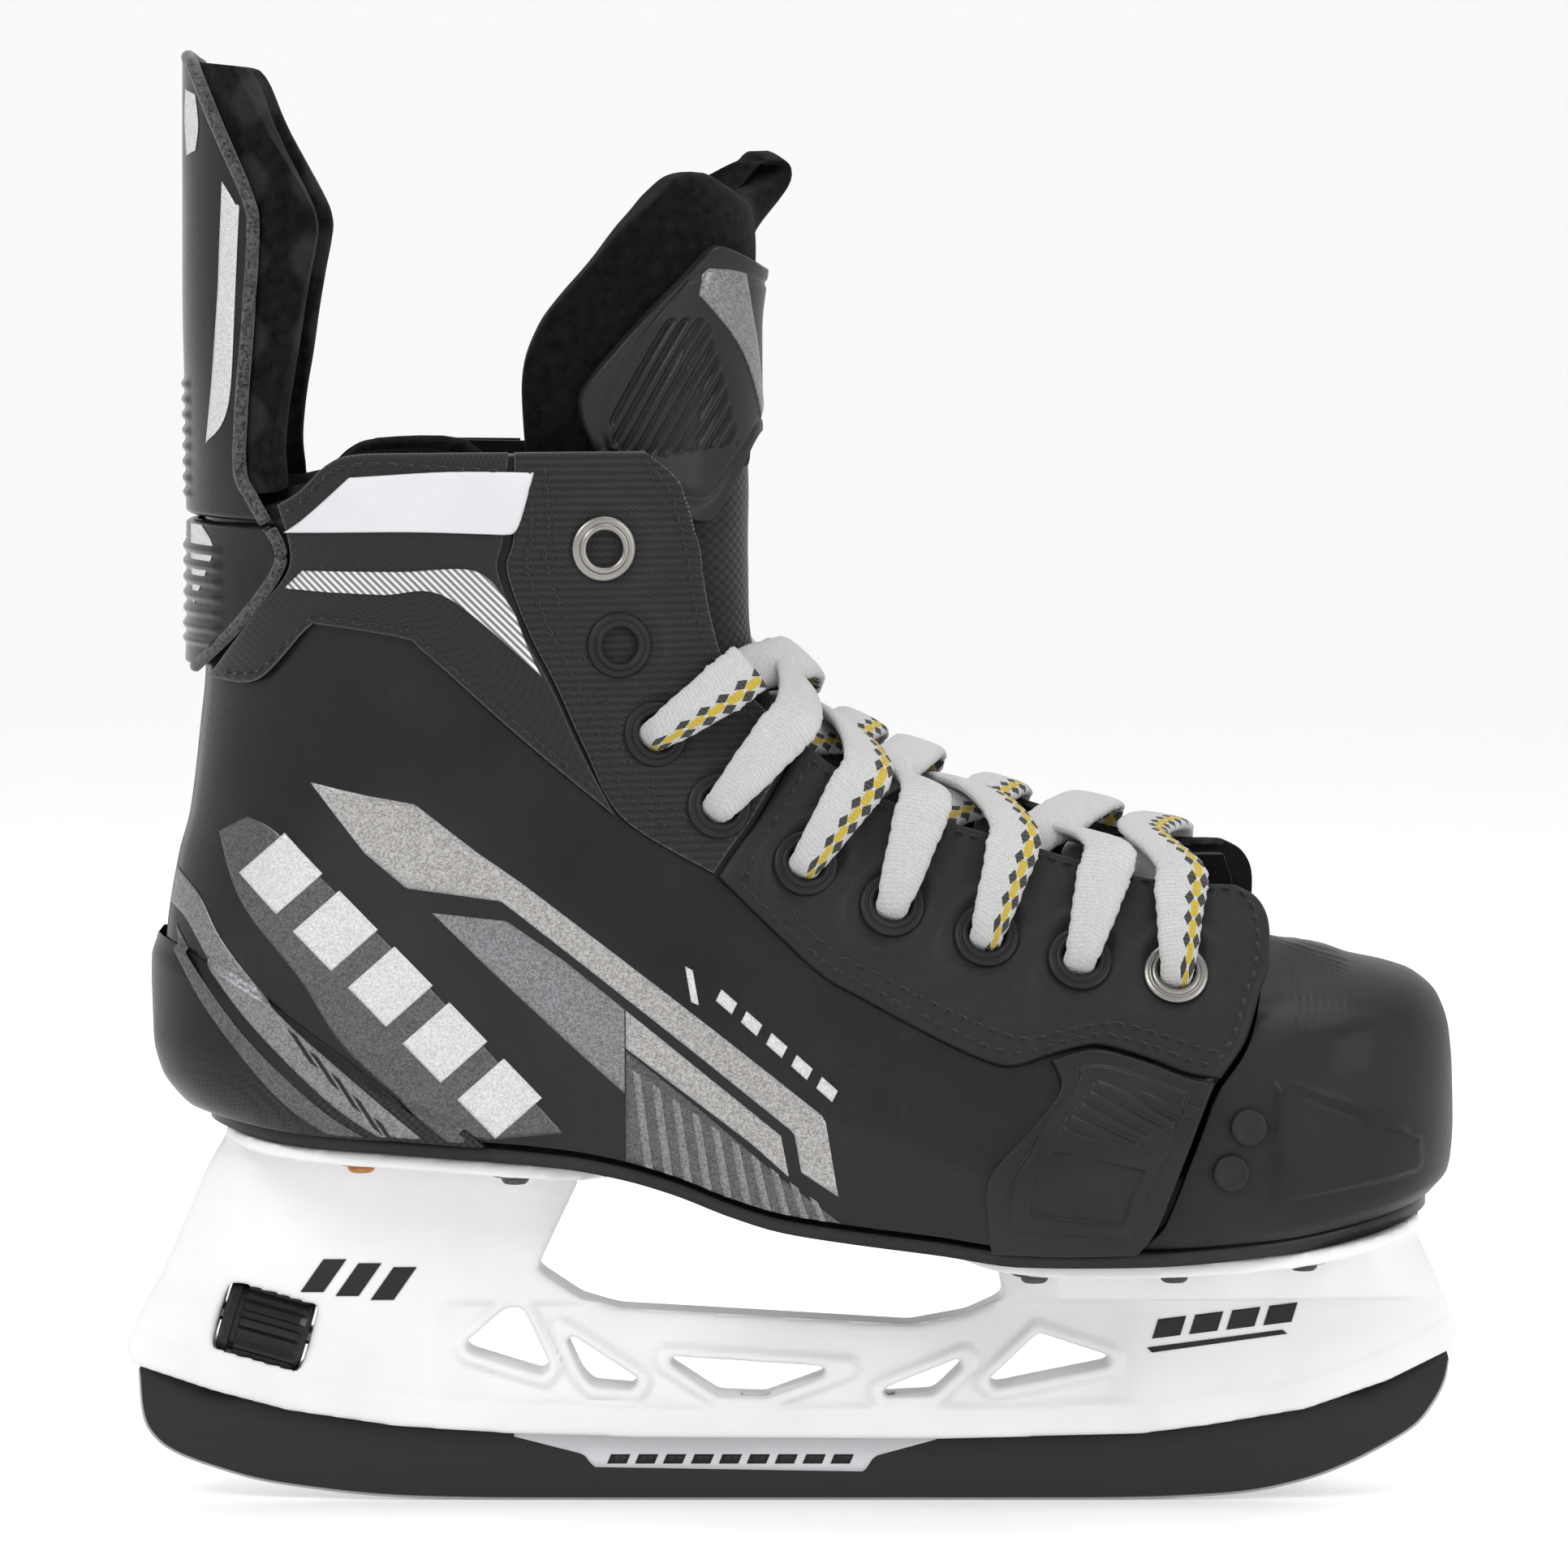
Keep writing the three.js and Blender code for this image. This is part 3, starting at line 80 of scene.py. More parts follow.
BOWL_RADIUS, BOWL_BEND, BOWL_TOP, BOWL_SIDES = 4.2, 0.9, 3.2, 64  # metres; every camera stands inside it
BOWL_FLAT = 0.5  # metres; the innermost ring of the level part
bend = np.radians(np.linspace(0, 90, 13))
bent = np.stack([BOWL_RADIUS - BOWL_BEND * (1 - np.sin(bend)), BOWL_BEND * (1 - np.cos(bend))], 1)
bowl_out, bowl_up = np.concatenate([[[BOWL_FLAT, 0]], bent, [[BOWL_RADIUS, BOWL_TOP]]]).T
bowl_turn = np.linspace(0, 2 * np.pi, BOWL_SIDES, endpoint=False)[:, None]
bowl_rings = np.broadcast_arrays(np.cos(bowl_turn) * bowl_out, np.sin(bowl_turn) * bowl_out, bowl_up[None])
bowl_points = np.concatenate([[[0, 0, 0]], np.stack(bowl_rings, -1).reshape(-1, 3)])
count = len(bowl_out)
i, j = np.meshgrid(np.arange(BOWL_SIDES), np.arange(count - 1), indexing="ij")
here, after = i * count + j, (i + 1) % BOWL_SIDES * count + j
bowl_faces = (1 + np.stack([here, here + 1, after + 1, after], -1)).reshape(-1, 4).tolist()
bowl_faces += [(0, 1 + k * count, 1 + (k + 1) % BOWL_SIDES * count) for k in range(BOWL_SIDES)]
bowl_mesh = bpy.data.meshes.new("sweep")
bowl_mesh.from_pydata(bowl_points, [], bowl_faces)
bowl_mesh.polygons.foreach_set("use_smooth", [True] * len(bowl_faces))
bowl_mesh.materials.append(plain("pale_floor", (0.86, 0.86, 0.86), 0.7, 0.22))
bowl = bpy.data.objects.new("sweep", bowl_mesh)
bpy.context.scene.collection.objects.link(bowl)

world = bpy.data.worlds.new("pale_sky")
world.use_nodes = True
world.node_tree.nodes["Background"].inputs["Color"].default_value = (1, 1, 1, 1)
world.node_tree.nodes["Background"].inputs["Strength"].default_value = 0.66
bpy.context.scene.world = world
bpy.context.scene.view_settings.view_transform = "Standard"


def lamp(name, place, size, power):
    data = bpy.data.lights.new(name, "AREA")
    data.shape = "RECTANGLE"
    data.size, data.size_y = size
    data.energy = power
    made = bpy.data.objects.new(name, data)
    made.location = place
    made.rotation_euler = (AIM - Vector(place)).to_track_quat("-Z", "Y").to_euler()
    bpy.context.scene.collection.objects.link(made)


lamp("key", (-0.55, -0.9, 0.95), (0.7, 0.5), 7.5)
lamp("fill", (1.0, -0.75, 0.45), (0.5, 0.8), 4)
lamp("top", (0.1, 0.15, 1.1), (1.1, 0.5), 6)

camera_data = bpy.data.cameras.new("camera")
camera_data.sensor_width = SENSOR
camera_data.lens = SENSOR * CAMERA_AWAY / FRAME_WIDTH
camera_data.clip_end = 20
camera = bpy.data.objects.new("camera", camera_data)
camera.location = AIM + Vector((0, -np.cos(CAMERA_RISE), np.sin(CAMERA_RISE))) * CAMERA_AWAY * MM
camera.rotation_euler = (AIM - camera.location).to_track_quat("-Z", "Y").to_euler()
bpy.context.scene.collection.objects.link(camera)
bpy.context.scene.camera = camera

# ---- Quarter shell ----
# The stiff gloss black body of the boot, thermoformed in one piece round the heel with its edges
# meeting the toe cap. It is drawn in side view and wrapped round a last by boot_point.
BALL_WIDTH, HEEL_WIDTH, ANKLE_WIDTH, COLLAR_WIDTH = 92, 68, 77, 80
THROAT_GAP = 43
MEDIAL_RISE = 5
TOE_SHIFT = 3
SHELL_WALL = 2.2
LAYER_GAP = 1.1
OVERLAY_WALL = 1.2
FACING_OUT = LAYER_GAP + OVERLAY_WALL
OUTSOLE_WALL = 3
CLEAR = 0.4
SOLE = [
    (-118, 78.6), (-99.4, 75.5), (-76.6, 73.7), (-44.5, 71), (-33, 68.9), (-23, 66), (-12, 61.8),
    (-1.9, 58.9), (12.3, 56.9), (29.3, 55), (45, 53), (67.9, 52.7), (93.3, 54), (115, 57.2), (133, 62),
]
HEEL = [
    (-110, 76), (-117, 80), (-122, 84), (-125.4, 89), (-126.6, 95), (-126.6, 105), (-126, 116),
    (-123.2, 132), (-120.9, 140), (-118.4, 158), (-117.3, 168), (-116.8, 183), (-116.8, 212),
    (-117.3, 240), (-117, 289),
]
THROAT = [
    (-28.3, 212), (-22, 205.5), (-18.6, 193.7), (-17.3, 184), (-14.8, 173), (-11, 166), (1.6, 154.1),
    (15.8, 143.7), (30, 138.3), (44.5, 133.9), (63.9, 127.6), (76, 125.4), (90, 125),
]


def graph(pairs):
    """A smooth function through (input, output) pairs: cubic between them, no overshoot, level past its ends."""
    x, y = np.array(pairs, float).T
    rise = np.diff(y) / np.diff(x)
    a, b = rise[:-1], rise[1:]
    inner = np.where(a * b > 0, 2 * a * b / np.where(a + b == 0, 1, a + b), 0)
    slope = np.concatenate([rise[:1], inner, rise[-1:]])

    def at(value):
        v = np.clip(value, x[0], x[-1])
        i = np.clip(np.searchsorted(x, v, side="right") - 1, 0, len(x) - 2)
        width = x[i + 1] - x[i]
        t = (v - x[i]) / width
        return (
            (2 * t**3 - 3 * t**2 + 1) * y[i]
            + (t**3 - 2 * t**2 + t) * width * slope[i]
            + (3 * t**2 - 2 * t**3) * y[i + 1]
            + (t**3 - t**2) * width * slope[i + 1]
        )

    return at


def edge(points):
    """A smooth path through points as a function of 0 to 1, even along its length (a Catmull-Rom spline)."""
    p = np.array(points, float)
    s = np.linspace(0, len(p) - 1, 40 * (len(p) - 1) + 1)
    i = np.minimum(s.astype(int), len(p) - 2)
    t = (s - i)[:, None]
    a, b, c, d = p[np.maximum(i - 1, 0)], p[i], p[i + 1], p[np.minimum(i + 2, len(p) - 1)]
    start, stop = (c - a) / 2, (d - b) / 2
    line = (2 * b - 2 * c + start + stop) * t**3 + (3 * c - 3 * b - 2 * start - stop) * t**2 + start * t + b
    run = np.concatenate([[0], np.cumsum(np.linalg.norm(np.diff(line, axis=0), axis=1))])

    def at(value):
        where = np.clip(value, 0, 1) * run[-1]
        return np.stack([np.interp(where, run, line[:, k]) for k in range(p.shape[1])], -1)

    return at


def mix(a, b, t):
    return a + (b - a) * t


def ease(t):
    """Smooth step: 0 below 0, 1 above 1, 3t^2 - 2t^3 between."""
    t = np.clip(t, 0, 1)
    return t * t * (3 - 2 * t)


sole_z = graph(SOLE)
heel_x = graph([(z, x) for x, z in HEEL])
foot_half = graph(
    [(-60, HEEL_WIDTH / 2), (-20, HEEL_WIDTH / 2 + 2), (15, BALL_WIDTH / 2 - 5), (52, BALL_WIDTH / 2),
     (80, BALL_WIDTH / 2 - 2.5), (100, BALL_WIDTH / 2 - 5)]
)
shaft_half = graph(
    [(76, HEEL_WIDTH / 2 - 1), (100, HEEL_WIDTH / 2), (148, ANKLE_WIDTH / 2), (176, ANKLE_WIDTH / 2 - 1.5),
     (212, COLLAR_WIDTH / 2), (240, COLLAR_WIDTH / 2 - 7), (289, COLLAR_WIDTH / 2 - 14)]
)
heel_radius = graph(
    [(76, HEEL_WIDTH / 2), (150, HEEL_WIDTH / 2 + 2), (212, COLLAR_WIDTH / 2 - 3), (289, COLLAR_WIDTH / 2 - 14)]
)
throat_half = graph([(120, THROAT_GAP / 2), (150, THROAT_GAP / 2), (212, THROAT_GAP / 2 + 5.5)])


def throat_distance(x, z):
    """How far a point of the side view is from the edge of the throat, the least over its straight stretches."""
    nearest = np.full(np.shape(x), np.inf)
    last = len(THROAT) - 2
    for i, ((ax, az), (bx, bz)) in enumerate(zip(THROAT, THROAT[1:])):
        t = ((x - ax) * (bx - ax) + (z - az) * (bz - az)) / ((bx - ax) ** 2 + (bz - az) ** 2)
        k = np.clip(t, -9 if i == 0 else 0, 9 if i == last else 1)
        nearest = np.minimum(nearest, np.hypot(x - ax - k * (bx - ax), z - az - k * (bz - az)))
    return nearest


def half_width(x, z):
    """Half the boot's width: the side's own width, leaning in to the throat edge and tucked in at the sole."""
    low = 1 - ease((z - 100) / 60)
    side = shaft_half(z) + (foot_half(x) - HEEL_WIDTH / 2) * low
    reach = 46 + 16 * ease((90 - x) / 60)
    lean = 1 - (1 - np.minimum(throat_distance(x, z) / reach, 1)) ** 1.5
    tuck = 0.07 * (1 - np.clip((z - sole_z(x)) / 14, 0, 1)) ** 2
    return mix(throat_half(z), side, lean) * (1 - tuck)


def centre(x):
    return TOE_SHIFT * ease((x - 10) / 110)


def way_round(x, z):
    """Distance round the boot from the middle of the heel: an arc of heel_radius, then straight forward."""
    radius = heel_radius(z)
    back = np.maximum(x - heel_x(z), 0)
    arc = radius * np.arccos(1 - np.minimum(back / radius, 1))
    return np.where(back < radius, arc, radius * (np.pi / 2 - 1) + back)


def boot_point(way, z):
    """The boot's outside: x from the arc round the heel, y the half width times the sine of the turn."""
    radius = heel_radius(z)
    turn = np.minimum(np.abs(way) / radius, np.pi / 2)
    past = np.maximum(np.abs(way) - radius * np.pi / 2, 0)
    x = heel_x(z) + radius * (1 - np.cos(turn)) + past
    y = np.sign(way) * half_width(x, z) * np.sin(turn) + centre(x)
    rise = MEDIAL_RISE * ease((z - 80) / 50) * ease((x + 30) / 45)
    return np.stack([x, y, z + np.where(way > 0, rise, 0)], -1)


def lifted(at, slope_a, slope_b, out):
    """Points of a surface moved `out` along its normal, the cross product of its two slopes."""
    normal = np.cross(slope_a, slope_b)
    normal /= np.maximum(np.linalg.norm(normal, axis=-1, keepdims=True), 1e-9)
    return at + normal * np.expand_dims(out, -1)


def on_boot(way, z, out, step=0.05):
    z = np.asarray(z, float)
    up = boot_point(way, z + step) - boot_point(way, z - step)
    round_it = boot_point(way + step, z) - boot_point(way - step, z)
    return lifted(boot_point(way, z), up, round_it, np.broadcast_to(out, z.shape))


def on_side(side, x, z, out):
    x, z = np.broadcast_arrays(np.asarray(x, float), np.asarray(z, float))
    return on_boot(side * np.maximum(way_round(x, z), 0.2), z, out)


def patch(bottom, top, back=None, front=None):
    """A Coons patch: the mean of the two ruled surfaces between facing edges, less the corners' own."""
    ends = [bottom(0.0), bottom(1.0), top(0.0), top(1.0)]

    def at(t, v):
        first = back(v) if back else mix(ends[0], ends[2], v[..., None])
        last = front(v) if front else mix(ends[1], ends[3], v[..., None])
        tt, vv = t[..., None], v[..., None]
        corners = mix(mix(ends[0], ends[1], tt), mix(ends[2], ends[3], tt), vv)
        return mix(bottom(t), top(t), vv) + mix(first, last, tt) - corners

    return at


def grid(across, up, rim=0.02):
    """Two arrays of 0 to 1 over a grid, with extra lines close to its borders for a rounded edge."""
    close = rim * (1 - np.cos(np.linspace(0, np.pi / 2, 5)))[:-1]
    lines = [np.concatenate([close, np.linspace(rim, 1 - rim, n), 1 - close[::-1]]) for n in (across, up)]
    return np.meshgrid(*lines, indexing="ij")


def rounded(u, v, rim=0.02):
    """1 in the middle of a panel, falling as a quarter circle to 0 at its borders."""
    near = np.minimum(np.minimum(u, 1 - u), np.minimum(v, 1 - v)) / rim
    return np.sqrt(1 - (1 - np.clip(near, 0, 1)) ** 2)


def mesh_of(name, points, faces, look, body, uv=None, smooth=True):
    """An object in metres from points in millimetres, its faces turned to give a positive volume."""
    points = np.asarray(points, float).reshape(-1, 3)
    faces = np.asarray(faces)
    a, b, c = (points[faces[:, k]] for k in range(3))
    d = points[faces[:, -1]]
    six = np.einsum("ij,ij->i", a, np.cross(b, c)) + np.einsum("ij,ij->i", a, np.cross(c, d))
    if six.sum() < 0:
        faces = faces[:, ::-1]
    mesh = bpy.data.meshes.new(name)
    mesh.from_pydata(points * MM, [], faces.tolist())
    if uv is not None:
        layer = mesh.uv_layers.new(name="UVMap")
        layer.data.foreach_set("uv", np.asarray(uv, float).reshape(-1, 2)[faces.ravel()].ravel())
    mesh.materials.append(look)
    made = bpy.data.objects.new(name, mesh)
    bpy.context.scene.collection.objects.link(made)
    tidy = bmesh.new()
    tidy.from_mesh(mesh)
    bmesh.ops.remove_doubles(tidy, verts=tidy.verts, dist=1e-7)
    bmesh.ops.dissolve_degenerate(tidy, dist=1e-7, edges=tidy.edges)
    tidy.to_mesh(mesh)
    tidy.free()
    mesh.polygons.foreach_set("use_smooth", [smooth] * len(mesh.polygons))
    if body is not None:
        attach(made, body)
    return made


def cells(nu, nv, wrap=False):
    """Quads of a grid of nu x nv points; wrap joins the last column of points to the first."""
    i, j = np.meshgrid(np.arange(nu if wrap else nu - 1), np.arange(nv - 1), indexing="ij")
    k = (i + 1) % nu
    return np.stack([i * nv + j, k * nv + j, k * nv + j + 1, i * nv + j + 1], -1).reshape(-1, 4)


def slab(name, top, bottom, look, body, uv=None):
    """A closed piece between two sheets of points of the same grid, walled round their borders."""
    nu, nv = top.shape[:2]
    near = cells(nu, nv)
    far = near[:, ::-1] + nu * nv
    ring = np.concatenate(
        [np.arange(nu) * nv, (nu - 1) * nv + np.arange(1, nv), np.arange(nu - 2, -1, -1) * nv + nv - 1,
         np.arange(nv - 2, 0, -1)]
    )
    after = np.roll(ring, -1)
    wall = np.stack([ring, ring + nu * nv, after + nu * nv, after], -1)
    points = np.concatenate([top.reshape(-1, 3), bottom.reshape(-1, 3)])
    both = None if uv is None else np.concatenate([uv.reshape(-1, 2)] * 2)
    return mesh_of(name, points, np.concatenate([near, far, wall]), look, body, both)


def surface_size(points):
    """Lengths across and up the middle of a grid of points, to give its map the piece's own size."""
    middle = [points[:, points.shape[1] // 2], points[points.shape[0] // 2]]
    return [np.linalg.norm(np.diff(line, axis=0), axis=-1).sum() for line in middle]


def panel(name, u, v, where, inner, outer, look, body, rim, shape):
    """A panel over places on the boot; shape(u, v, where), if there is one, adds to its height."""
    height = inner + (outer - inner) * rounded(u, v, rim)
    if shape is not None:
        height = height + shape(u, v, where) * rounded(u, v, rim)
    way, z = where[..., 0], where[..., 1]
    top = on_boot(way, z, height)
    across, up = surface_size(top)
    return slab(name, top, on_boot(way, z, inner), look, body, np.stack([u * across, v * up], -1) * MM)


def side_line(side, line, t):
    x, z = np.moveaxis(line(t), -1, 0)
    return np.stack([side * way_round(x, z), z], -1)


def side_panel(name, side, edges, inner, outer, look, body="boot", fine=(60, 30), rim=0.02, shape=None):
    """A panel on one side of the boot between edges given in side view."""
    area = patch(**{key: (lambda t, line=line: side_line(side, line, t)) for key, line in edges.items()})
    u, v = grid(*fine, rim)
    return panel(name, u, v, area(u, v), inner, outer, look, body, rim, shape)


def heel_panel(name, edges, inner, outer, look, body="boot", fine=(90, 30), rim=0.01, shape=None):
    """A panel that wraps round the heel from one side to the other, alike on both."""
    def from_heel(line):
        def at(t):
            x, z = np.moveaxis(line(t), -1, 0)
            return np.stack([np.where(t == 0, 0, way_round(x, z)), z], -1)
        return at

    front = (lambda v: side_line(1, edges["front"], v)) if "front" in edges else None
    area = patch(from_heel(edges["bottom"]), from_heel(edges["top"]), None, front)
    u, v = grid(*fine, rim)
    where = area(np.abs(2 * u - 1), v) * np.stack([np.sign(2 * u - 1), np.ones(v.shape)], -1)
    return panel(name, u, v, where, inner, outer, look, body, rim, shape)


def node(tree, kind, inputs=None, **settings):
    """A shader node with its settings, its inputs either linked from a socket or given a value."""
    made = tree.nodes.new(kind)
    for key, value in settings.items():
        setattr(made, key, value)
    for key, value in (inputs or {}).items():
        if isinstance(value, bpy.types.NodeSocket):
            tree.links.new(value, made.inputs[key])
        else:
            made.inputs[key].default_value = value
    return made


def shader_group(name, inputs, outputs):
    """An empty shader group with float, vector or colour sockets, and its two end nodes."""
    tree = bpy.data.node_groups.new(name, "ShaderNodeTree")
    for key, (kind, value) in inputs.items():
        socket = tree.interface.new_socket(key, in_out="INPUT", socket_type="NodeSocket" + kind)
        if value is not None:
            socket.default_value = value
    for key, kind in outputs.items():
        tree.interface.new_socket(key, in_out="OUTPUT", socket_type="NodeSocket" + kind)
    return tree, tree.nodes.new("NodeGroupInput"), tree.nodes.new("NodeGroupOutput")


def math(tree, kind, *values):
    """The output of one math node; each value is a number or a socket."""
    return node(tree, "ShaderNodeMath", dict(enumerate(values)), operation=kind).outputs[0]


def remap(tree, value, **ends):
    """A value carried from one range to another; ends are named from_min, from_max, to_min and to_max."""
    inputs = {key.replace("_", " ").title(): end for key, end in ends.items()}
    return node(tree, "ShaderNodeMapRange", {"Value": value, **inputs}).outputs["Result"]


def noise(tree, place, scale, detail, **inputs):
    inputs = {"Vector": place, "Scale": scale, "Detail": detail, **inputs}
    return node(tree, "ShaderNodeTexNoise", inputs).outputs["Fac"]


def blended(tree, factor, first, second):
    """Two colours, given as sockets or values, mixed by a factor."""
    return node(tree, "ShaderNodeMix", {"Factor": factor, 6: first, 7: second}, data_type="RGBA").outputs[2]


def tinted(tree, factor, dark, light):
    return blended(tree, factor, (*dark, 1), (*light, 1))


def feed(tree, end, **sockets):
    """Links sockets to a node's inputs, each named with _ for a space."""
    for key, socket in sockets.items():
        tree.links.new(socket, end.inputs[key.replace("_", " ")])


def grouped(tree, group, place, **values):
    """A shader group with its first input linked to a place and its other inputs given even values."""
    made = node(tree, "ShaderNodeGroup", node_tree=group)
    tree.links.new(place, made.inputs[0])
    for key, value in values.items():
        made.inputs[key.replace("_", " ")].default_value = value
    return made


def handled_group():
    """Uneven gloss: wide smudges and fine scuffs as a roughness, and a fine skin as a height."""
    tree, start, end = shader_group(
        "handled",
        {"Position": ("Vector", None), "Low": ("Float", 0.2), "High": ("Float", 0.4), "Skin Scale": ("Float", 900.0)},
        {"Roughness": "Float", "Height": "Float", "Smudge": "Float"},
    )
    place = start.outputs["Position"]
    smudge = remap(tree, noise(tree, place, 38.0, 6.0), from_min=0.35, from_max=0.68, to_min=0.0, to_max=1.0)
    rough = remap(tree, smudge, to_min=start.outputs["Low"], to_max=start.outputs["High"])
    feed(tree, end, Roughness=rough, Height=noise(tree, place, start.outputs["Skin Scale"], 4.0), Smudge=smudge)
    return tree


def flake_group():
    """Metallic flake: each small cell of a Voronoi pattern gets its own brightness around the print's tone."""
    tree, start, end = shader_group(
        "flake",
        {"Position": ("Vector", None), "Size": ("Float", 0.3), "Dark": ("Color", (0.1, 0.1, 0.1, 1)),
         "Light": ("Color", (0.3, 0.3, 0.3, 1))},
        {"Color": "Color", "Spark": "Float"},
    )
    scale = math(tree, "DIVIDE", 1000.0, start.outputs["Size"])
    chips = node(tree, "ShaderNodeTexVoronoi", {"Vector": start.outputs["Position"], "Scale": scale})
    level = node(tree, "ShaderNodeSeparateColor", {"Color": chips.outputs["Color"]}).outputs
    feed(tree, end, Color=blended(tree, level[0], start.outputs["Dark"], start.outputs["Light"]), Spark=level[1])
    return tree


HANDLED = handled_group()
FLAKE = flake_group()


def blank(name, **constants):
    """A material with its shader's even values set, and its tree, shader and position socket."""
    material = bpy.data.materials.new(name)
    material.use_nodes = True
    tree = material.node_tree
    shader = tree.nodes["Principled BSDF"]
    for key, value in {"Specular_IOR_Level": 0.14, **constants}.items():
        shader.inputs[key.replace("_", " ")].default_value = value
    return material, tree, shader, tree.nodes.new("ShaderNodeTexCoord")


def bump(tree, shader, height, distance):
    made = node(tree, "ShaderNodeBump", {"Height": height, "Distance": distance * MM, "Strength": 1.0})
    tree.links.new(made.outputs["Normal"], shader.inputs["Normal"])


def worn(name, dark, light, low, high, skin, skin_depth, **constants):
    """A hard surface whose colour and roughness wander with handling, over a fine skin of bumps."""
    material, tree, shader, spot = blank(name, **constants)
    handled = grouped(tree, HANDLED, spot.outputs["Object"], Low=low, High=high, Skin_Scale=skin).outputs
    colour = tinted(tree, handled["Smudge"], dark, light)
    feed(tree, shader, Roughness=handled["Roughness"], Base_Color=colour)
    bump(tree, shader, handled["Height"], skin_depth)
    return material


def gloss_plastic(name, dark, light, low, high, coat=0.1, skin=900.0, skin_depth=0.05):
    return worn(name, dark, light, low, high, skin, skin_depth, Coat_Weight=coat, Coat_Roughness=0.12)


GLOSS_BLACK = gloss_plastic("gloss_black_shell", (0.0085, 0.0081, 0.0085), (0.0135, 0.013, 0.0135), 0.2, 0.33,
                            coat=0.16)
SHELL_BOTTOM = edge([(x, sole_z(x) + OUTSOLE_WALL + CLEAR) for x in np.linspace(-117, 67.4, 30)])
SHELL_TOP = edge([
    (-116.8, 199), (-106, 200.5), (-97, 203.5), (-93, 206), (-89.5, 209.6), (-84, 211.4), (-52.6, 211.6),
    (-29.5, 210.6), (-22.9, 204), (-19.9, 193.7), (-18.8, 184), (-16.8, 172.6), (-13.2, 164.8),
    (0.2, 153), (15.1, 142.9), (44, 133), (63.5, 126.6), (76, 124.4), (87.5, 124.2),
])
SHELL_FRONT = edge([
    (67.4, 56.4), (71.8, 61.8), (78.2, 77.6), (82.6, 88.4), (86.9, 94.6), (88.6, 99), (89.6, 105.4),
    (90, 112), (89.4, 119), (87.5, 124.2),
])
shell = heel_panel(
    "shell_body", {"bottom": SHELL_BOTTOM, "top": SHELL_TOP, "front": SHELL_FRONT},
    -SHELL_WALL, 0, GLOSS_BLACK, fine=(220, 70), rim=0.008,
)
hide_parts("quarter_shell")

# ---- Heel cup ----
# A second skin of gloss black bonded round the heel, its upper edge sweeping down to the sole.
# Over the very bottom it has a fine woven texture moulded in.
CUP_FRONT = -64
CUP_TOP = [(-126, 115.5), (-118, 113), (-104, 105.5), (-88, 94), (-74, 83), (CUP_FRONT, 79.4)]
CUP_IN = LAYER_GAP - 0.9
CUP_OUT = CUP_IN + OVERLAY_WALL


def woven_gloss():
    """Gloss black with a fine basket weave that fades out between 82 and 98 mm up."""
    material, tree, shader, spot = blank("woven_gloss_black", Coat_Weight=0.1, Coat_Roughness=0.2)
    place = spot.outputs["Object"]
    handled = grouped(tree, HANDLED, place, Low=0.24, High=0.38)
    checks = node(tree, "ShaderNodeTexChecker", {"Vector": place, "Scale": 1100.0})
    height = node(tree, "ShaderNodeSeparateXYZ", {"Vector": place}).outputs["Z"]
    low = remap(tree, height, from_min=0.082, from_max=0.098, to_min=1.0, to_max=0.0)
    weave = math(tree, "MULTIPLY", checks.outputs["Fac"], low)
    colour = tinted(tree, weave, (0.009, 0.0087, 0.009), (0.022, 0.022, 0.022))
    feed(tree, shader, Roughness=handled.outputs["Roughness"], Base_Color=colour)
    bump(tree, shader, weave, 0.12)
    return material


cup = heel_panel(
    "heel_cup_skin",
    {"bottom": edge([(x, sole_z(x) + OUTSOLE_WALL + CLEAR) for x in np.linspace(-118, -60, 16)]), "top": edge(CUP_TOP)},
    CUP_IN, CUP_OUT, woven_gloss(), fine=(140, 34), rim=0.012, shape=lambda u, v, where: -1.0 * ease((v - 0.86) / 0.14),
)
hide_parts("heel_cup")

# ---- Printed panels ----
# Flake-silver stripes, bands and blocks printed on both sides of the shell in three tones of grey.
# Each is a film a tenth of a millimetre thick that follows the surface under it.
FILM, FILM_LIFT, FILM_MARGIN = 0.1, 0.06, 0.8  # its thickness, its height off the shell, its distance from the sole
cup_top_z = graph(CUP_TOP)


def flake_print(name, dark, light, size=0.32, metallic=0.55):
    material, tree, shader, spot = blank(name, Metallic=metallic, Coat_Weight=0.4, Coat_Roughness=0.15)
    flake = grouped(tree, FLAKE, spot.outputs["Object"], Size=size, Dark=(*dark, 1), Light=(*light, 1)).outputs
    feed(tree, shader, Base_Color=flake["Color"], Roughness=remap(tree, flake["Spark"], to_min=0.34, to_max=0.52))
    bump(tree, shader, flake["Spark"], 0.03)
    return material


PRINT_LIGHT = flake_print("print_light_flake", (0.19, 0.185, 0.18), (0.42, 0.41, 0.4))
PRINT_MID = flake_print("print_mid_flake", (0.1, 0.1, 0.105), (0.23, 0.23, 0.24))
PRINT_DARK = flake_print("print_dark_flake", (0.045, 0.045, 0.047), (0.11, 0.11, 0.115))
PRINT_SILVER = flake_print("print_silver", (0.4, 0.4, 0.41), (0.62, 0.62, 0.63), size=0.25, metallic=0.25)


def straight(points):
    """A path of straight stretches through points as a function of 0 to 1, a like share to each."""
    share = np.linspace(0, 1, len(points))
    return lambda t: np.stack([np.interp(t, share, line) for line in np.array(points, float).T], -1)


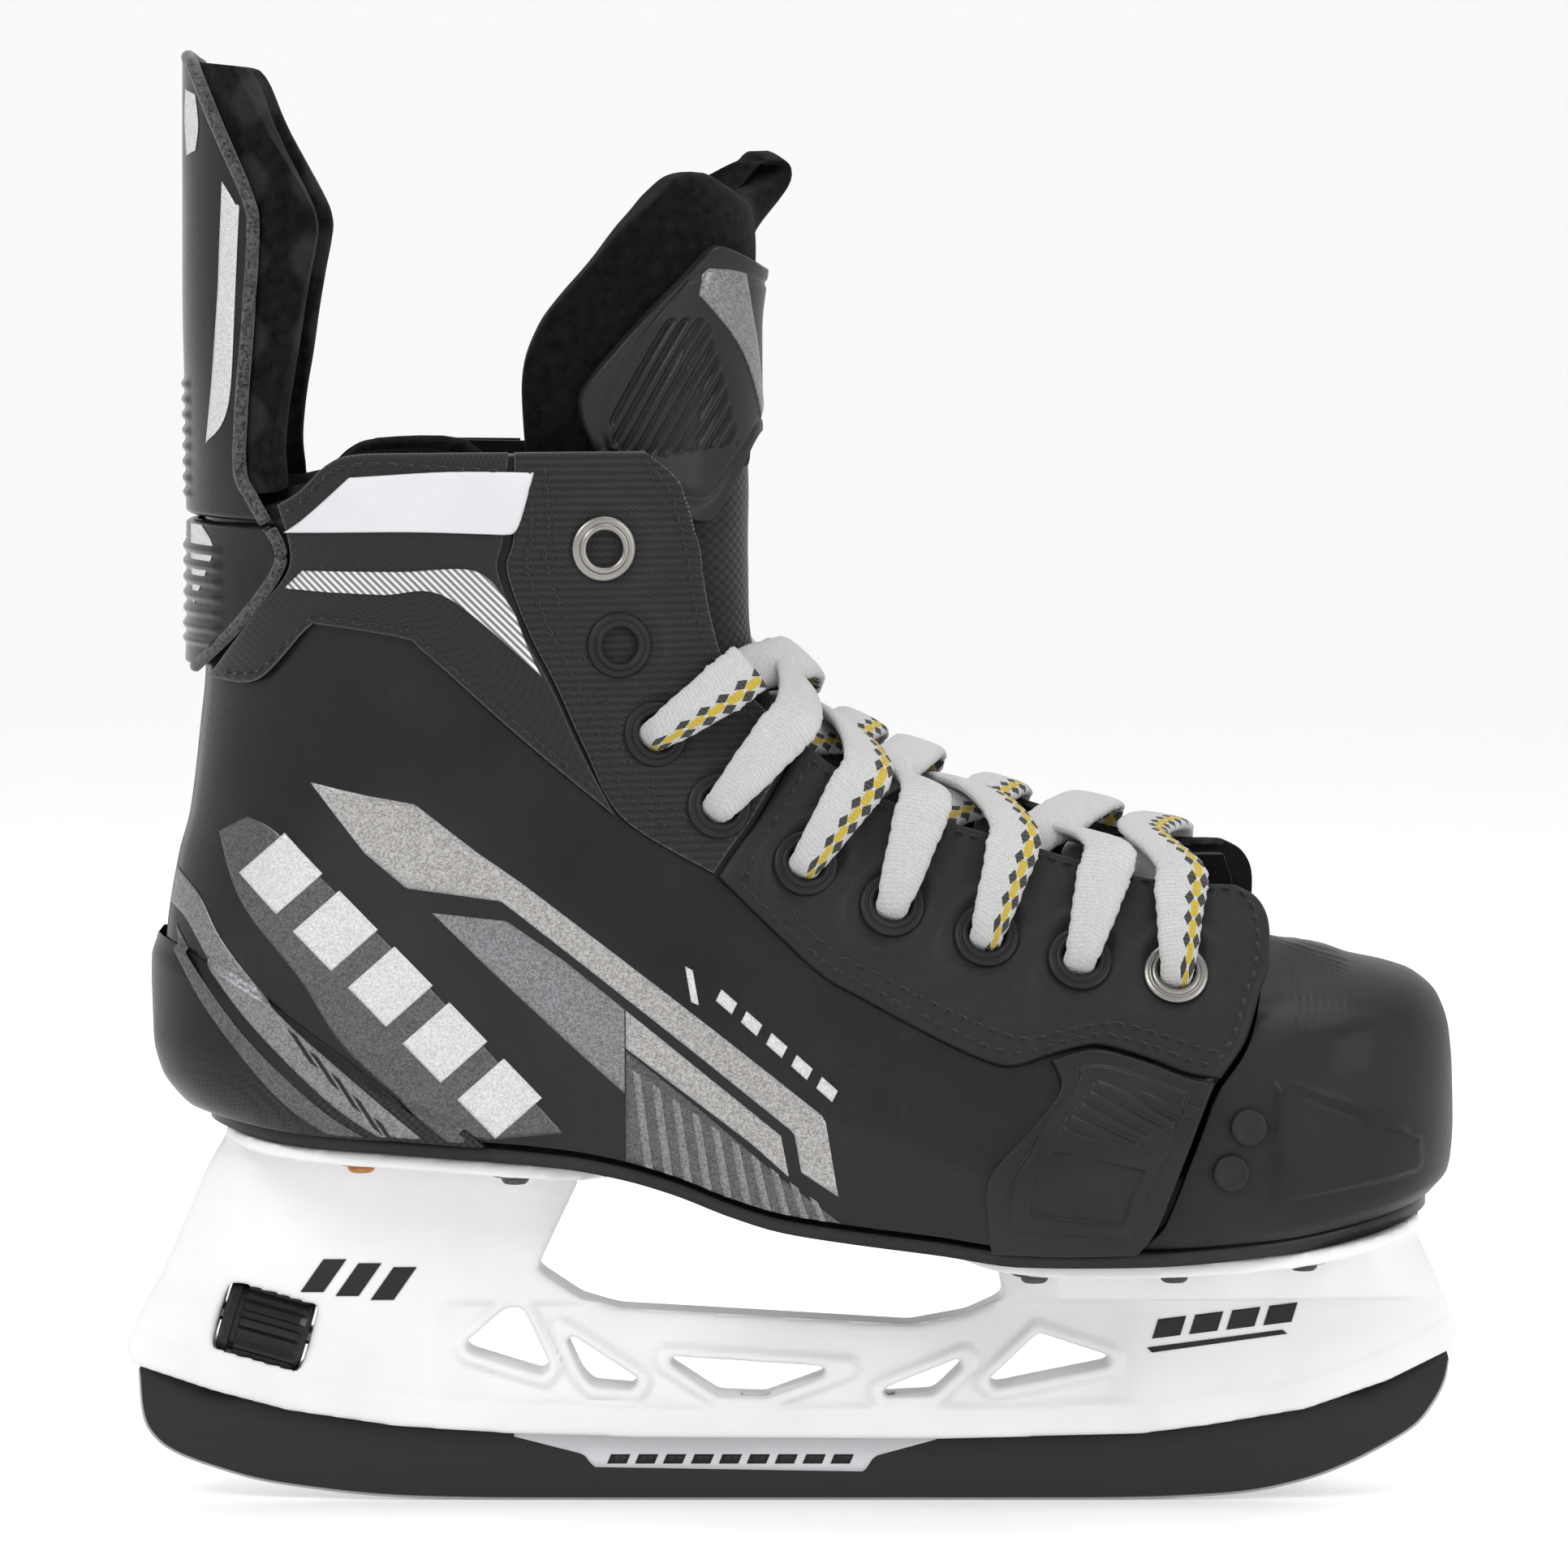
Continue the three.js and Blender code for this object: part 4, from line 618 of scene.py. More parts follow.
def film(name, side, bottom, top, look, level=0, curved=True, across=40, up=10):
    """A printed film between two side-view edges, lying on the shell or, lower down, on the heel cup."""
    path = edge if curved else straight
    u, v = np.meshgrid(np.linspace(0, 1, across), np.linspace(0, 1, up), indexing="ij")
    x, z = np.moveaxis(patch(path(bottom), path(top))(u, v), -1, 0)
    z = np.maximum(z, sole_z(x) + OUTSOLE_WALL + CLEAR + FILM_MARGIN)
    on_cup = ease((cup_top_z(x) + 0.7 - z) / 0.8) * (x < CUP_FRONT)
    low = FILM_LIFT + level * FILM + on_cup * CUP_OUT
    made = slab(f"{name}_{'outer' if side < 0 else 'inner'}", on_side(side, x, z, low + FILM),
                on_side(side, x, z, low), look, "boot", np.stack([x, z], -1) * MM)


def film_row(name, side, number, corners, step, look, across, up):
    """A row of like films with straight edges: four side-view corners moved on by `step` each time."""
    for i in range(number):
        moved = [(x + step[0] * i, z + step[1] * i) for x, z in corners]
        film(f"{name}_{i + 1}", side, moved[:2], moved[2:], look, 1, False, across, up)


for side in (-1, 1):
    film("stripe_long", side,
         [(-93.5, 147.8), (-83, 134), (-75, 127.1), (-56.6, 124.5), (-52.6, 121.4), (0.5, 79.2), (1.9, 71.5)],
         [(-93.5, 147.8), (-82, 145.2), (-73.2, 143.6), (-61, 134), (-52.6, 128.1), (6.5, 82.3), (9.1, 66.8)],
         PRINT_LIGHT, curved=False, across=90)
    film("stripe_short_back", side, [(-70, 122.2), (-61, 113), (-52.6, 104.9), (-42, 95), (-32.6, 86.5)],
         [(-70, 122.2), (-62, 121.3), (-55.5, 120.6), (-44.5, 112.9), (-32.6, 103.2)], PRINT_MID, curved=False)
    film("stripe_short_front", side, [(-32.4, 95.5), (-20, 86), (-8, 77), (-0.6, 70.6)],
         [(-32.4, 103), (-17, 90.5), (-2.1, 78.6), (-0.6, 70.9)], PRINT_LIGHT, curved=False)
    film("bars_ground", side, [(-32.4, 72.5), (-20, 68), (-5, 62), (10.5, 60)],
         [(-32.4, 95), (-18, 83.6), (-3, 71), (10.5, 60.8)], PRINT_DARK, curved=False)
    for i in range(10):
        x, high, low = -31.2 + 3.85 * i, 91.6 - 2.75 * i, 70 - 1.15 * i
        film(f"bar_{i + 1}", side, [(x, high), (x + 2.6, low)], [(x + 1.7, high - 1.2), (x + 4.3, low)], PRINT_MID,
             1, False, 12, 3)
    film("band_upper", side,
         [(-122.7, 122.3), (-118.9, 119.4), (-114, 111.6), (-104.3, 99), (-89.8, 84.5), (-77.2, 76)],
         [(-121.3, 129.1), (-116, 124.2), (-111.1, 115.5), (-99.5, 101.9), (-88.5, 91.5), (-72.3, 77.7)],
         PRINT_MID, across=60)
    film("band_lower", side, [(-120.3, 113.2), (-114, 102.6), (-104.3, 90.3), (-96.6, 82.9), (-86.9, 76.7)],
         [(-121.3, 118.2), (-115, 108.7), (-105.3, 96.3), (-91.7, 83.6), (-79.6, 76)], PRINT_DARK, across=60)
    film("badge_ground", side, [(-112.1, 137.2), (-107.5, 124), (-96, 109), (-86.6, 94.4), (-66.5, 76.4)],
         [(-106.2, 140.6), (-99.5, 137.3), (-86, 123.4), (-74.3, 111.4), (-44.7, 78.6)], PRINT_DARK, across=60, up=20)
    film_row("block", side, 5, [(-107.8, 129.6), (-100.4, 121.8), (-98.6, 137.8), (-91.2, 130)], (10.6, -11.1),
             PRINT_SILVER, 24, 16)
    film_row("dash", side, 6, [(-98.2, 99.4), (-94, 92.8), (-96.5, 98.1), (-92.3, 91.5)], (4.1, -4.3),
             GLOSS_BLACK, 10, 3)
    film("mark_slash", side, [(-20.8, 111.6), (-19.6, 104.6)], [(-19.3, 110.8), (-18.1, 104)], PRINT_SILVER,
         1, False, 8, 3)
    film_row("mark", side, 5, [(-14.8, 104.9), (-11.7, 102.2), (-13.7, 107.1), (-10.6, 104.4)], (4.9, -4.2),
             PRINT_SILVER, 8, 4)

# ---- Tendon guard ----
# A stiff gloss guard behind the ankle in two parts, a base sewn to the shell and a top that flexes back.
# A speckled braid binds its edge, and a silver blade shape and two small badges are printed on it.
GUARD_OUT = LAYER_GAP + 2.2
FLEX_Z = 198
RIB_PITCH, RIB_DEPTH = 3.1, 0.7
GUARD_LEAN = 3.8  # the guard's outer face shows this much further back than the last it stands on
BASE_FRONT = edge([(-115.5, 168.6), (-106.4, 178), (-98.2, 190.4), (-100.4, 197.7)])
GUARD_FRONT = [
    (-101, 198.4), (-103.6, 203), (-105.8, 208), (-105.6, 220.2), (-104.6, 238), (-103.8, 254),
    (-104.8, 261), (-110.6, 275), (-115.6, 287),
]


def ribs(low, high, reach):
    """Level ribs round the back: a raised cosine of the height between two heights, fading to the sides."""
    def at(u, v, where):
        way, z = np.abs(where[..., 0]), where[..., 1]
        inside = ease((z - low) / 2) * ease((high - z) / 2) * ease((reach - way) / 4)
        return RIB_DEPTH * inside * (0.5 - 0.5 * np.cos(2 * np.pi * (z - low) / RIB_PITCH))
    return at


guard_base = heel_panel(
    "tendon_guard_lower",
    {"bottom": edge([(-117.4, 168.6), (-115.5, 168.6)]),
     "top": edge([(-116.8, FLEX_Z - CLEAR), (-108, FLEX_Z - CLEAR), (-100.4, 197.7)]), "front": BASE_FRONT},
    LAYER_GAP, GUARD_OUT, GLOSS_BLACK, fine=(120, 120), rim=0.03, shape=ribs(172, 195, 26),
)
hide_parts("tendon_guard_base")
guard = heel_panel(
    "tendon_guard_top",
    {"bottom": edge([(-116.8, FLEX_Z + CLEAR), (-108, FLEX_Z + CLEAR), GUARD_FRONT[0]]),
     "top": edge([(-117, 288.6), GUARD_FRONT[-1]]), "front": edge(GUARD_FRONT)},
    LAYER_GAP, GUARD_OUT, GLOSS_BLACK, body=None, fine=(120, 200), rim=0.012, shape=ribs(201, 226, 13),
)
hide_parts("tendon_guard")


def swept(name, rings, ends, look, body, uv):
    """A closed skin over rings of points along a line, shut at each end by a fan to its end point."""
    count, around = rings.shape[:2]
    i, j = np.meshgrid(np.arange(count - 1), np.arange(around), indexing="ij")
    k = (j + 1) % around
    sides = np.stack([i * around + j, i * around + k, (i + 1) * around + k, (i + 1) * around + j], -1)
    j, k, tip, last = j[0], k[0], np.full(around, count * around), (count - 1) * around
    caps = [np.stack([k, j, tip, tip], -1), np.stack([last + j, last + k, tip + 1, tip + 1], -1)]
    faces = np.concatenate([sides.reshape(-1, 4), *caps])
    return mesh_of(name, np.concatenate([rings.reshape(-1, 3), *ends]), faces, look, body, uv * MM)


def line_length(line):
    return np.concatenate([[0], np.cumsum(np.linalg.norm(np.diff(line, axis=0), axis=1))])


def square_to(way, run):
    """A field of directions made square to a line's own and of unit length."""
    way = way - run * (way * run).sum(1, keepdims=True)
    return way / np.maximum(np.linalg.norm(way, axis=1, keepdims=True), 1e-9)


def tube(name, line, radius, look, body, around=10):
    """A closed tube along a line of points: circles square to the line."""
    run = np.gradient(line, axis=0)
    run /= np.linalg.norm(run, axis=1, keepdims=True)
    out = square_to(np.broadcast_to([0.0, 0.0, 1.0], line.shape), run)
    turn = np.linspace(0, 2 * np.pi, around, endpoint=False)
    across = np.cross(run, out)[:, None] * np.cos(turn)[:, None]
    rings = line[:, None] + (across + out[:, None] * np.sin(turn)[:, None]) * radius
    length = line_length(line)
    uv = np.stack(np.broadcast_arrays(length[:, None], (turn * radius)[None]), -1).reshape(-1, 2)
    return swept(name, rings, (line[:1], line[-1:]), look, body, np.concatenate([uv, [[0, 0], [length[-1], 0]]]))


def braid():
    """A grey and black braid: small slanted cells of random brightness with a soft sheen."""
    material, tree, shader, spot = blank("speckled_braid", Roughness=0.75, Sheen_Weight=0.3)
    flake = grouped(tree, FLAKE, spot.outputs["Object"], Size=0.55, Dark=(0.006, 0.006, 0.006, 1),
                    Light=(0.075, 0.075, 0.075, 1)).outputs
    feed(tree, shader, Base_Color=flake["Color"])
    bump(tree, shader, flake["Spark"], 0.25)
    return material


BRAID = braid()
guard_rim = edge(GUARD_FRONT)(np.linspace(0, 1, 160))
rim_out = (LAYER_GAP + GUARD_OUT) / 2
head_x, head_z = np.array(GUARD_FRONT[-1], float)
over_top = np.linspace(1, -1, 21)[1:-1] * way_round(head_x, head_z)
rim_line = np.concatenate([
    on_side(-1, *guard_rim.T, rim_out),
    on_boot(-over_top, head_z + 1.4 * (1 - (over_top / over_top.max()) ** 2), rim_out),
    on_side(1, *guard_rim[::-1].T, rim_out),
])
rim_binding = tube("guard_edge_binding", rim_line, 1.35, BRAID, None)
for side, label in ((-1, "outer"), (1, "inner")):
    base_line = on_side(side, *BASE_FRONT(np.linspace(0, 0.97, 50)).T, rim_out)
    binding = tube(f"base_edge_binding_{label}", base_line, 1.25, BRAID, "boot")


def guard_film(name, side_low, side_high, sign, look, body="tendon_guard"):
    """A printed film on the guard between two lines given in side view, stood off the guard's outer face."""
    def on_guard(line):
        x, z = np.array(line, float).T
        return edge(np.stack([sign * way_round(x + GUARD_LEAN, z), z], -1))

    u, v = np.meshgrid(np.linspace(0, 1, 60), np.linspace(0, 1, 8), indexing="ij")
    way, z = np.moveaxis(patch(on_guard(side_low), on_guard(side_high))(u, v), -1, 0)
    sheets = [on_boot(way, z, GUARD_OUT + lift) for lift in (0.22, 0.05)]
    made = slab(name, *sheets, look, body, np.stack([way, z], -1) * MM)


for sign, label in ((-1, "outer"), (1, "inner")):
    guard_film(f"guard_blade_{label}", [(-112.5, 264), (-113, 252), (-113.4, 240.8), (-114.2, 226), (-115.3, 213)],
               [(-112.5, 264), (-110, 259.4), (-109.5, 256.3), (-110.8, 221.7), (-115.3, 213)], sign, PRINT_SILVER)
    guard_film(f"guard_badge_{label}", [(-119.6, 282), (-119.8, 276), (-119.4, 269)],
               [(-117.6, 281), (-117, 275), (-117.6, 270)], sign, PRINT_SILVER)
    guard_film(f"base_badge_{label}", [(-118.8, 197), (-118.8, 190), (-118.4, 181.4)],
               [(-116.4, 197), (-114.2, 191.8), (-118.2, 181.2)], sign, PRINT_SILVER, "boot")

# ---- Collar panels ----
# A matte sewn panel covers each side of the ankle, up to the collar.
# A white plate and a striped silver badge are bonded on it.
def weave_group():
    """A plain weave from two waves of the surface's own map crossed over and under, with stray fibres."""
    tree, start, end = shader_group(
        "weave", {"Map": ("Vector", None), "Threads": ("Float", 1200.0), "Fuzz": ("Float", 0.3)},
        {"Height": "Float", "Shade": "Float"},
    )
    split = node(tree, "ShaderNodeSeparateXYZ", {"Vector": start.outputs["Map"]})
    waves = []
    for axis in ("X", "Y"):
        run = math(tree, "MULTIPLY", split.outputs[axis], start.outputs["Threads"])
        waves.append(math(tree, "SINE", math(tree, "MULTIPLY", run, 3.14159)))
    even = remap(tree, math(tree, "MULTIPLY", *waves), from_min=-1.0, from_max=1.0)
    stray = noise(tree, start.outputs["Map"], 1500.0, 3.0)
    part = node(tree, "ShaderNodeMix", {"Factor": start.outputs["Fuzz"], "A": even, "B": stray}).outputs[0]
    feed(tree, end, Height=part, Shade=part)
    return tree


WEAVE = weave_group()


def cloth(name, dark, light, threads, depth, fuzz=0.3, roughness=0.85, sheen=0.25):
    material, tree, shader, spot = blank(name, Roughness=roughness, Sheen_Weight=sheen, Sheen_Roughness=0.5)
    weave = grouped(tree, WEAVE, spot.outputs["UV"], Threads=threads, Fuzz=fuzz).outputs
    feed(tree, shader, Base_Color=tinted(tree, weave["Shade"], dark, light))
    bump(tree, shader, weave["Height"], depth)
    return material


def grain(name, dark, light, scale, depth, roughness=0.55):
    """A leather-like grain: creases between the cells of a Voronoi pattern, broken up by noise."""
    material, tree, shader, spot = blank(name, Roughness=roughness, Coat_Weight=0.08, Coat_Roughness=0.4)
    place = spot.outputs["Object"]
    wander = noise(tree, place, scale * 0.6, 4.0)
    crease = node(tree, "ShaderNodeTexVoronoi", {"Vector": place, "Scale": scale}, feature="DISTANCE_TO_EDGE")
    soft = remap(tree, crease.outputs["Distance"], from_max=0.35)
    feed(tree, shader, Base_Color=tinted(tree, wander, dark, light))
    bump(tree, shader, math(tree, "MULTIPLY", soft, wander), depth)
    return material


MATTE_CLOTH = cloth("matte_black_cloth", (0.01, 0.0096, 0.0102), (0.022, 0.0213, 0.0226), 1500.0, 0.12)
GRAIN_BLACK = grain("grained_black", (0.0105, 0.0101, 0.0107), (0.018, 0.0174, 0.0183), 620.0, 0.12)
COLLAR_EDGES = {
    "bottom": edge([(-113.4, 167), (-103.5, 167.2), (-93.8, 177.5), (-90.6, 178.4), (-75.2, 175.8), (-71.5, 173.2),
                    (-52.6, 155.9), (-34.6, 140.8)]),
    "top": edge([(-99, 201.6), (-94.6, 204.6), (-89.5, 209.6), (-84, 211.4), (-70, 211.6), (-55.2, 211.6)]),
    "back": edge([(-113.4, 167), (-104, 180), (-96.8, 190.2), (-99, 201.6)]),
    "front": edge([(-34.6, 140.8), (-41.8, 154.2), (-47.2, 166.2), (-53.2, 177.8), (-57.3, 188.9), (-56.2, 195.3),
                   (-55.2, 211.6)]),
}


def striped_silver():
    """Silver print crossed by fine slanted dark stripes, from a sine of x plus z."""
    material, tree, shader, spot = blank("striped_silver_print", Metallic=0.3, Coat_Weight=0.3, Coat_Roughness=0.2)
    split = node(tree, "ShaderNodeSeparateXYZ", {"Vector": spot.outputs["Object"]}).outputs
    slant = math(tree, "ADD", split["X"], split["Z"])
    wave = math(tree, "SINE", math(tree, "MULTIPLY", slant, 4300.0))
    bars = remap(tree, wave, from_min=-0.3, from_max=0.3)
    colour = tinted(tree, bars, (0.14, 0.14, 0.145), (0.62, 0.62, 0.63))
    feed(tree, shader, Base_Color=colour, Roughness=remap(tree, bars, to_min=0.5, to_max=0.33))
    return material


WHITE_PLATE = gloss_plastic("white_plate", (0.5, 0.5, 0.52), (0.58, 0.58, 0.6), 0.34, 0.46, coat=0.1)
STRIPED = striped_silver()


def bonded(name, side, bottom, top, back, front, look, height=0.7):
    """A thin moulded badge bonded on a panel, rounded at its edges."""
    lines = {"bottom": bottom, "top": top, "back": back, "front": front}
    edges = {key: edge(line) for key, line in lines.items() if line}
    made = side_panel(name, side, edges, FACING_OUT, FACING_OUT + height, look, fine=(50, 24), rim=0.05)


for side, label in ((-1, "outer"), (1, "inner")):
    collar = side_panel(f"collar_side_{label}", side, COLLAR_EDGES, LAYER_GAP, FACING_OUT, MATTE_CLOTH, fine=(90, 60))
    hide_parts(f"collar_panel_{label}")
    bonded(f"white_collar_plate_{label}", side, [(-97.5, 196.4), (-76, 196.5), (-55.8, 195.7)],
           [(-85.5, 207), (-67, 207.9), (-50.4, 207.6)], [(-97.5, 196.4), (-93.5, 199.4), (-85.5, 207)],
           [(-55.8, 195.7), (-53.4, 197.2), (-50.4, 207.6)], WHITE_PLATE)
    bonded(f"striped_collar_badge_{label}", side, [(-97.5, 185.6), (-80, 184.4), (-67.1, 183.7), (-49, 167.8)],
           [(-94, 189.2), (-76, 188.9), (-61.3, 188.7), (-54.2, 180.8)], None,
           [(-49, 167.8), (-51.8, 174), (-54.2, 180.8)], STRIPED, 0.45)

# ---- Facings and their stitching ----
# Two panels on each side carry the eyelets: a ribbed cloth one up the shaft and a grained one over
# the instep. Each is sewn to the shell by rows of dark thread a few millimetres inside its edge.
UPPER_FACING = {
    "bottom": edge([(-54, 211.6), (-54.2, 195.3), (-55.4, 188.9), (-51.7, 177.6), (-46.1, 166.2), (-40.6, 154),
                    (-33.1, 140.4), (-15.4, 129.4)]),
    "top": edge([(-29, 211.6), (-21.6, 204.8), (-18.3, 193.7), (-17.2, 184), (-14.6, 172.7), (-10.8, 165.7),
                 (0.8, 154.8)]),
}
LOWER_FACING = {
    "bottom": edge([(-14.6, 128.8), (4, 111.1), (13.3, 105.4), (28.8, 97.3), (38.6, 93.1), (43.7, 92.5), (49.8, 94.3),
                    (56.6, 95.9), (61, 95.9), (69, 93.6), (77.1, 90.6), (83.4, 89.6)]),
    "top": edge([(1.6, 154.1), (15.8, 143.9), (30, 138.5), (44.5, 134.1), (63.9, 127.8), (76, 125.6), (87, 125.3)]),
    "front": edge([(83.4, 89.6), (87, 94.4), (89, 98), (91.4, 105.4), (93.3, 110.4), (93.6, 118.5), (91.4, 123),
                   (87, 125.3)]),
}
EYELETS = [
    (-37.2, 193.1), (-34.3, 174), (-27.2, 156.2), (-14.7, 142), (2.3, 130.7), (19.4, 122.4), (37.8, 116.3),
    (55.9, 111.6), (74.9, 108.7),
]
EYELET_HOLE, EYELET_BARREL, EYELET_FLANGE = 3.55, 4.2, 6.4
STITCH_PITCH, STITCH_SHARE, STITCH_RADIUS = 3.1, 0.66, 0.34


def ribbed_cloth():
    """Black cloth with level cords 1.5 mm apart, from a sine of the height, crossed by a weave."""
    material, tree, shader, spot = blank("ribbed_black_cloth", Roughness=0.8, Sheen_Weight=0.3, Sheen_Roughness=0.45)
    up = node(tree, "ShaderNodeSeparateXYZ", {"Vector": spot.outputs["Object"]}).outputs["Z"]
    cord = math(tree, "SINE", math(tree, "MULTIPLY", up, 4200.0))
    weave = grouped(tree, WEAVE, spot.outputs["UV"], Threads=1800.0)
    both = math(tree, "MULTIPLY_ADD", cord, 0.35, weave.outputs["Height"])
    feed(tree, shader, Base_Color=tinted(tree, both, (0.011, 0.0107, 0.0112), (0.024, 0.0235, 0.0245)))
    bump(tree, shader, both, 0.2)
    return material


RIBBED = ribbed_cloth()
THREAD = cloth("dark_thread", (0.003, 0.003, 0.003), (0.016, 0.016, 0.017), 2600.0, 0.08, fuzz=0.4)


def dimples(side):
    """The panel sinks a little round each eyelet and stands up in a soft ring outside it."""
    def at(u, v, where):
        height = 0
        for x, z in EYELETS:
            gap = np.hypot(where[..., 0] - side * way_round(x, z), where[..., 1] - z)
            height = height + 0.55 * np.exp(-(((gap - 8.4) / 1.5) ** 2)) - 0.3 * (1 - ease((gap - 5) / 2.4))
        return height
    return at


def stitches(name, side, line, out=FACING_OUT + 0.1):
    """A row of short sewn threads along a side-view line: each a flattened spindle sunk at both ends."""
    dense = line(np.linspace(0, 1, 400)).T
    spots, above = on_side(side, *dense, out), on_side(side, *dense, out + 1)
    run = line_length(spots)
    on_row = lambda points, at: np.stack([np.interp(at, run, points[:, k]) for k in range(3)], -1)
    count = max(int(run[-1] / STITCH_PITCH), 1)
    start = (np.arange(count) + 0.18) * run[-1] / count
    along = np.linspace(0, 1, 5)
    where = start[:, None] + STITCH_PITCH * STITCH_SHARE * along
    middle = on_row(spots, where)
    ahead = middle[:, -1] - middle[:, 0]
    ahead /= np.linalg.norm(ahead, axis=1, keepdims=True)
    up = on_row(above, where.mean(1)) - middle[:, 2]
    up /= np.linalg.norm(up, axis=1, keepdims=True)
    across = np.cross(ahead, up)
    swell = np.sin(np.pi * np.clip(along, 0.06, 0.94))
    middle = middle + up[:, None] * (0.28 * swell - 0.12)[None, :, None]
    turn = np.linspace(0, 2 * np.pi, 6, endpoint=False)
    ring = across[:, None, None] * np.cos(turn)[:, None] + up[:, None, None] * np.sin(turn)[:, None]
    points = (middle[:, :, None] + ring * (STITCH_RADIUS * (0.35 + 0.65 * swell))[None, :, None, None]).reshape(-1, 3)
    i, j = np.meshgrid(np.arange(4), np.arange(6), indexing="ij")
    k = (j + 1) % 6
    sides = np.stack([i * 6 + j, (i + 1) * 6 + j, (i + 1) * 6 + k, i * 6 + k], -1).reshape(-1, 4)
    one = np.concatenate([sides, [(0, 1, 2, 3), (0, 3, 4, 5), (27, 26, 25, 24), (29, 28, 27, 24)]])
    faces = (one[None] + 30 * np.arange(count)[:, None, None]).reshape(-1, 4)
    made = mesh_of(name, points, faces, THREAD, "boot", points[:, ::2] * MM)


ALONG, UP = np.linspace(0.03, 0.97, 60), np.linspace(0.06, 0.93, 60)
SEWN = {  # each row's panel, and its share of the way across and up it
    "shaft_front": (UPPER_FACING, ALONG, 0.91),
    "shaft_back": (UPPER_FACING, ALONG, 0.1),
    "shaft_back_second": (UPPER_FACING, ALONG, 0.2),
    "instep_top": (LOWER_FACING, ALONG, 0.93),
    "instep_bottom": (LOWER_FACING, ALONG, 0.06),
    "instep_bottom_second": (LOWER_FACING, ALONG, 0.13),
    "instep_back": (LOWER_FACING, 0.035, UP),
    "instep_front": (LOWER_FACING, 0.975, UP),
    "collar_bottom": (COLLAR_EDGES, ALONG, 0.05),
    "collar_top": (COLLAR_EDGES, ALONG, 0.95),
}
for side, label in ((-1, "outer"), (1, "inner")):
    upper = side_panel(f"facing_shaft_{label}", side, UPPER_FACING, LAYER_GAP, FACING_OUT, RIBBED, fine=(150, 60),
                       shape=dimples(side))
    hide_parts(f"facing_upper_{label}")
    lower = side_panel(f"facing_instep_{label}", side, LOWER_FACING, LAYER_GAP, FACING_OUT, GRAIN_BLACK,
                       fine=(150, 60), shape=dimples(side))
    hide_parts(f"facing_lower_{label}")
    for key, (edges, across, up) in SEWN.items():
        stitches(f"stitches_{key}_{label}", side, edge(patch(**edges)(*np.broadcast_arrays(across, up))))

# ---- Eyelets ----
# Pressed eyelets with a rolled flange: the first and last of each row bare metal, the rest black.
# Each is turned on an axis square to the boot, with a black disc sunk in its hole as painted shade for the hole's
# depth.
EYELET_TOP, EYELET_TAIL = FACING_OUT + 0.35, -SHELL_WALL - 0.6
EYELET_LIP = 0.75


def turned(name, profile, place, axis, look, body, around=48):
    """A closed turned piece: a profile of (radius, height) swept round an axis."""
    radius, height = np.array(profile, float).T
    axis = np.asarray(axis, float) / np.linalg.norm(axis)
    side = np.cross(axis, [0.0, 0.0, 1.0] if abs(axis[2]) < 0.9 else [1.0, 0.0, 0.0])
    side /= np.linalg.norm(side)
    turn = np.linspace(0, 2 * np.pi, around, endpoint=False)[:, None]
    spoke = np.cos(turn) * side + np.sin(turn) * np.cross(axis, side)
    points = place + spoke[:, None] * radius[:, None] + axis * height[:, None]
    uv = np.stack(np.broadcast_arrays(turn * 3, np.arange(len(radius))[None] * 0.5), -1)
    return mesh_of(name, points, cells(around, len(radius), wrap=True), look, body, uv * MM)


def metal(name, dark, light, low, high, metallic=1.0):
    return worn(name, dark, light, low, high, 2200.0, 0.03, Metallic=metallic)


BARE_METAL = metal("bare_metal", (0.2, 0.19, 0.175), (0.31, 0.3, 0.28), 0.25, 0.42)
BLACK_METAL = metal("black_coated_metal", (0.012, 0.012, 0.012), (0.024, 0.024, 0.024), 0.35, 0.5, 0.2)
# A near-black material for the disc sunk in each eyelet hole: painted shade for the hole's depth.
HOLE_SHADE_BLACK = plain("painted_hole_shade", (0.004, 0.004, 0.004), 0.9)
lip = [(EYELET_HOLE + EYELET_LIP * (1 - np.cos(a)), EYELET_TOP + 0.35 + 0.85 * np.sin(a))
       for a in np.linspace(0, np.pi, 9)]
EYELET_PROFILE = [
    (EYELET_HOLE, EYELET_TAIL), *lip, (EYELET_HOLE + 1.8, EYELET_TOP + 0.5), (EYELET_FLANGE - 0.7, EYELET_TOP + 0.45),
    (EYELET_FLANGE - 0.2, EYELET_TOP + 0.3), (EYELET_FLANGE, EYELET_TOP), (EYELET_FLANGE - 0.3, EYELET_TOP - 0.25),
    (EYELET_BARREL, EYELET_TOP - 0.25), (EYELET_BARREL, EYELET_TAIL), (EYELET_HOLE, EYELET_TAIL),
]
SHADE_DISC_PROFILE = [(0, -0.4), (3.4, -0.4), (3.5, 0.1), (3.4, 0.25), (0, 0.25)]
for side, label in ((-1, "outer"), (1, "inner")):
    for i, (x, z) in enumerate(EYELETS):
        place = on_side(side, x, z, 0.0)
        axis = on_side(side, x, z, 1.0) - place
        look = BARE_METAL if i in (0, len(EYELETS) - 1) else BLACK_METAL
        ring = turned(f"eyelet_ring_{label}_{i + 1}", EYELET_PROFILE, place, axis, look, "boot")
        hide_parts(f"eyelet_{label}_{i + 1}")
        # A black disc inside the hole: painted shade for the hole's depth.
        shade_disc = turned(f"eyelet_shade_disc_{label}_{i + 1}", SHADE_DISC_PROFILE, place + axis * 0.9, axis, HOLE_SHADE_BLACK, "boot", 20)

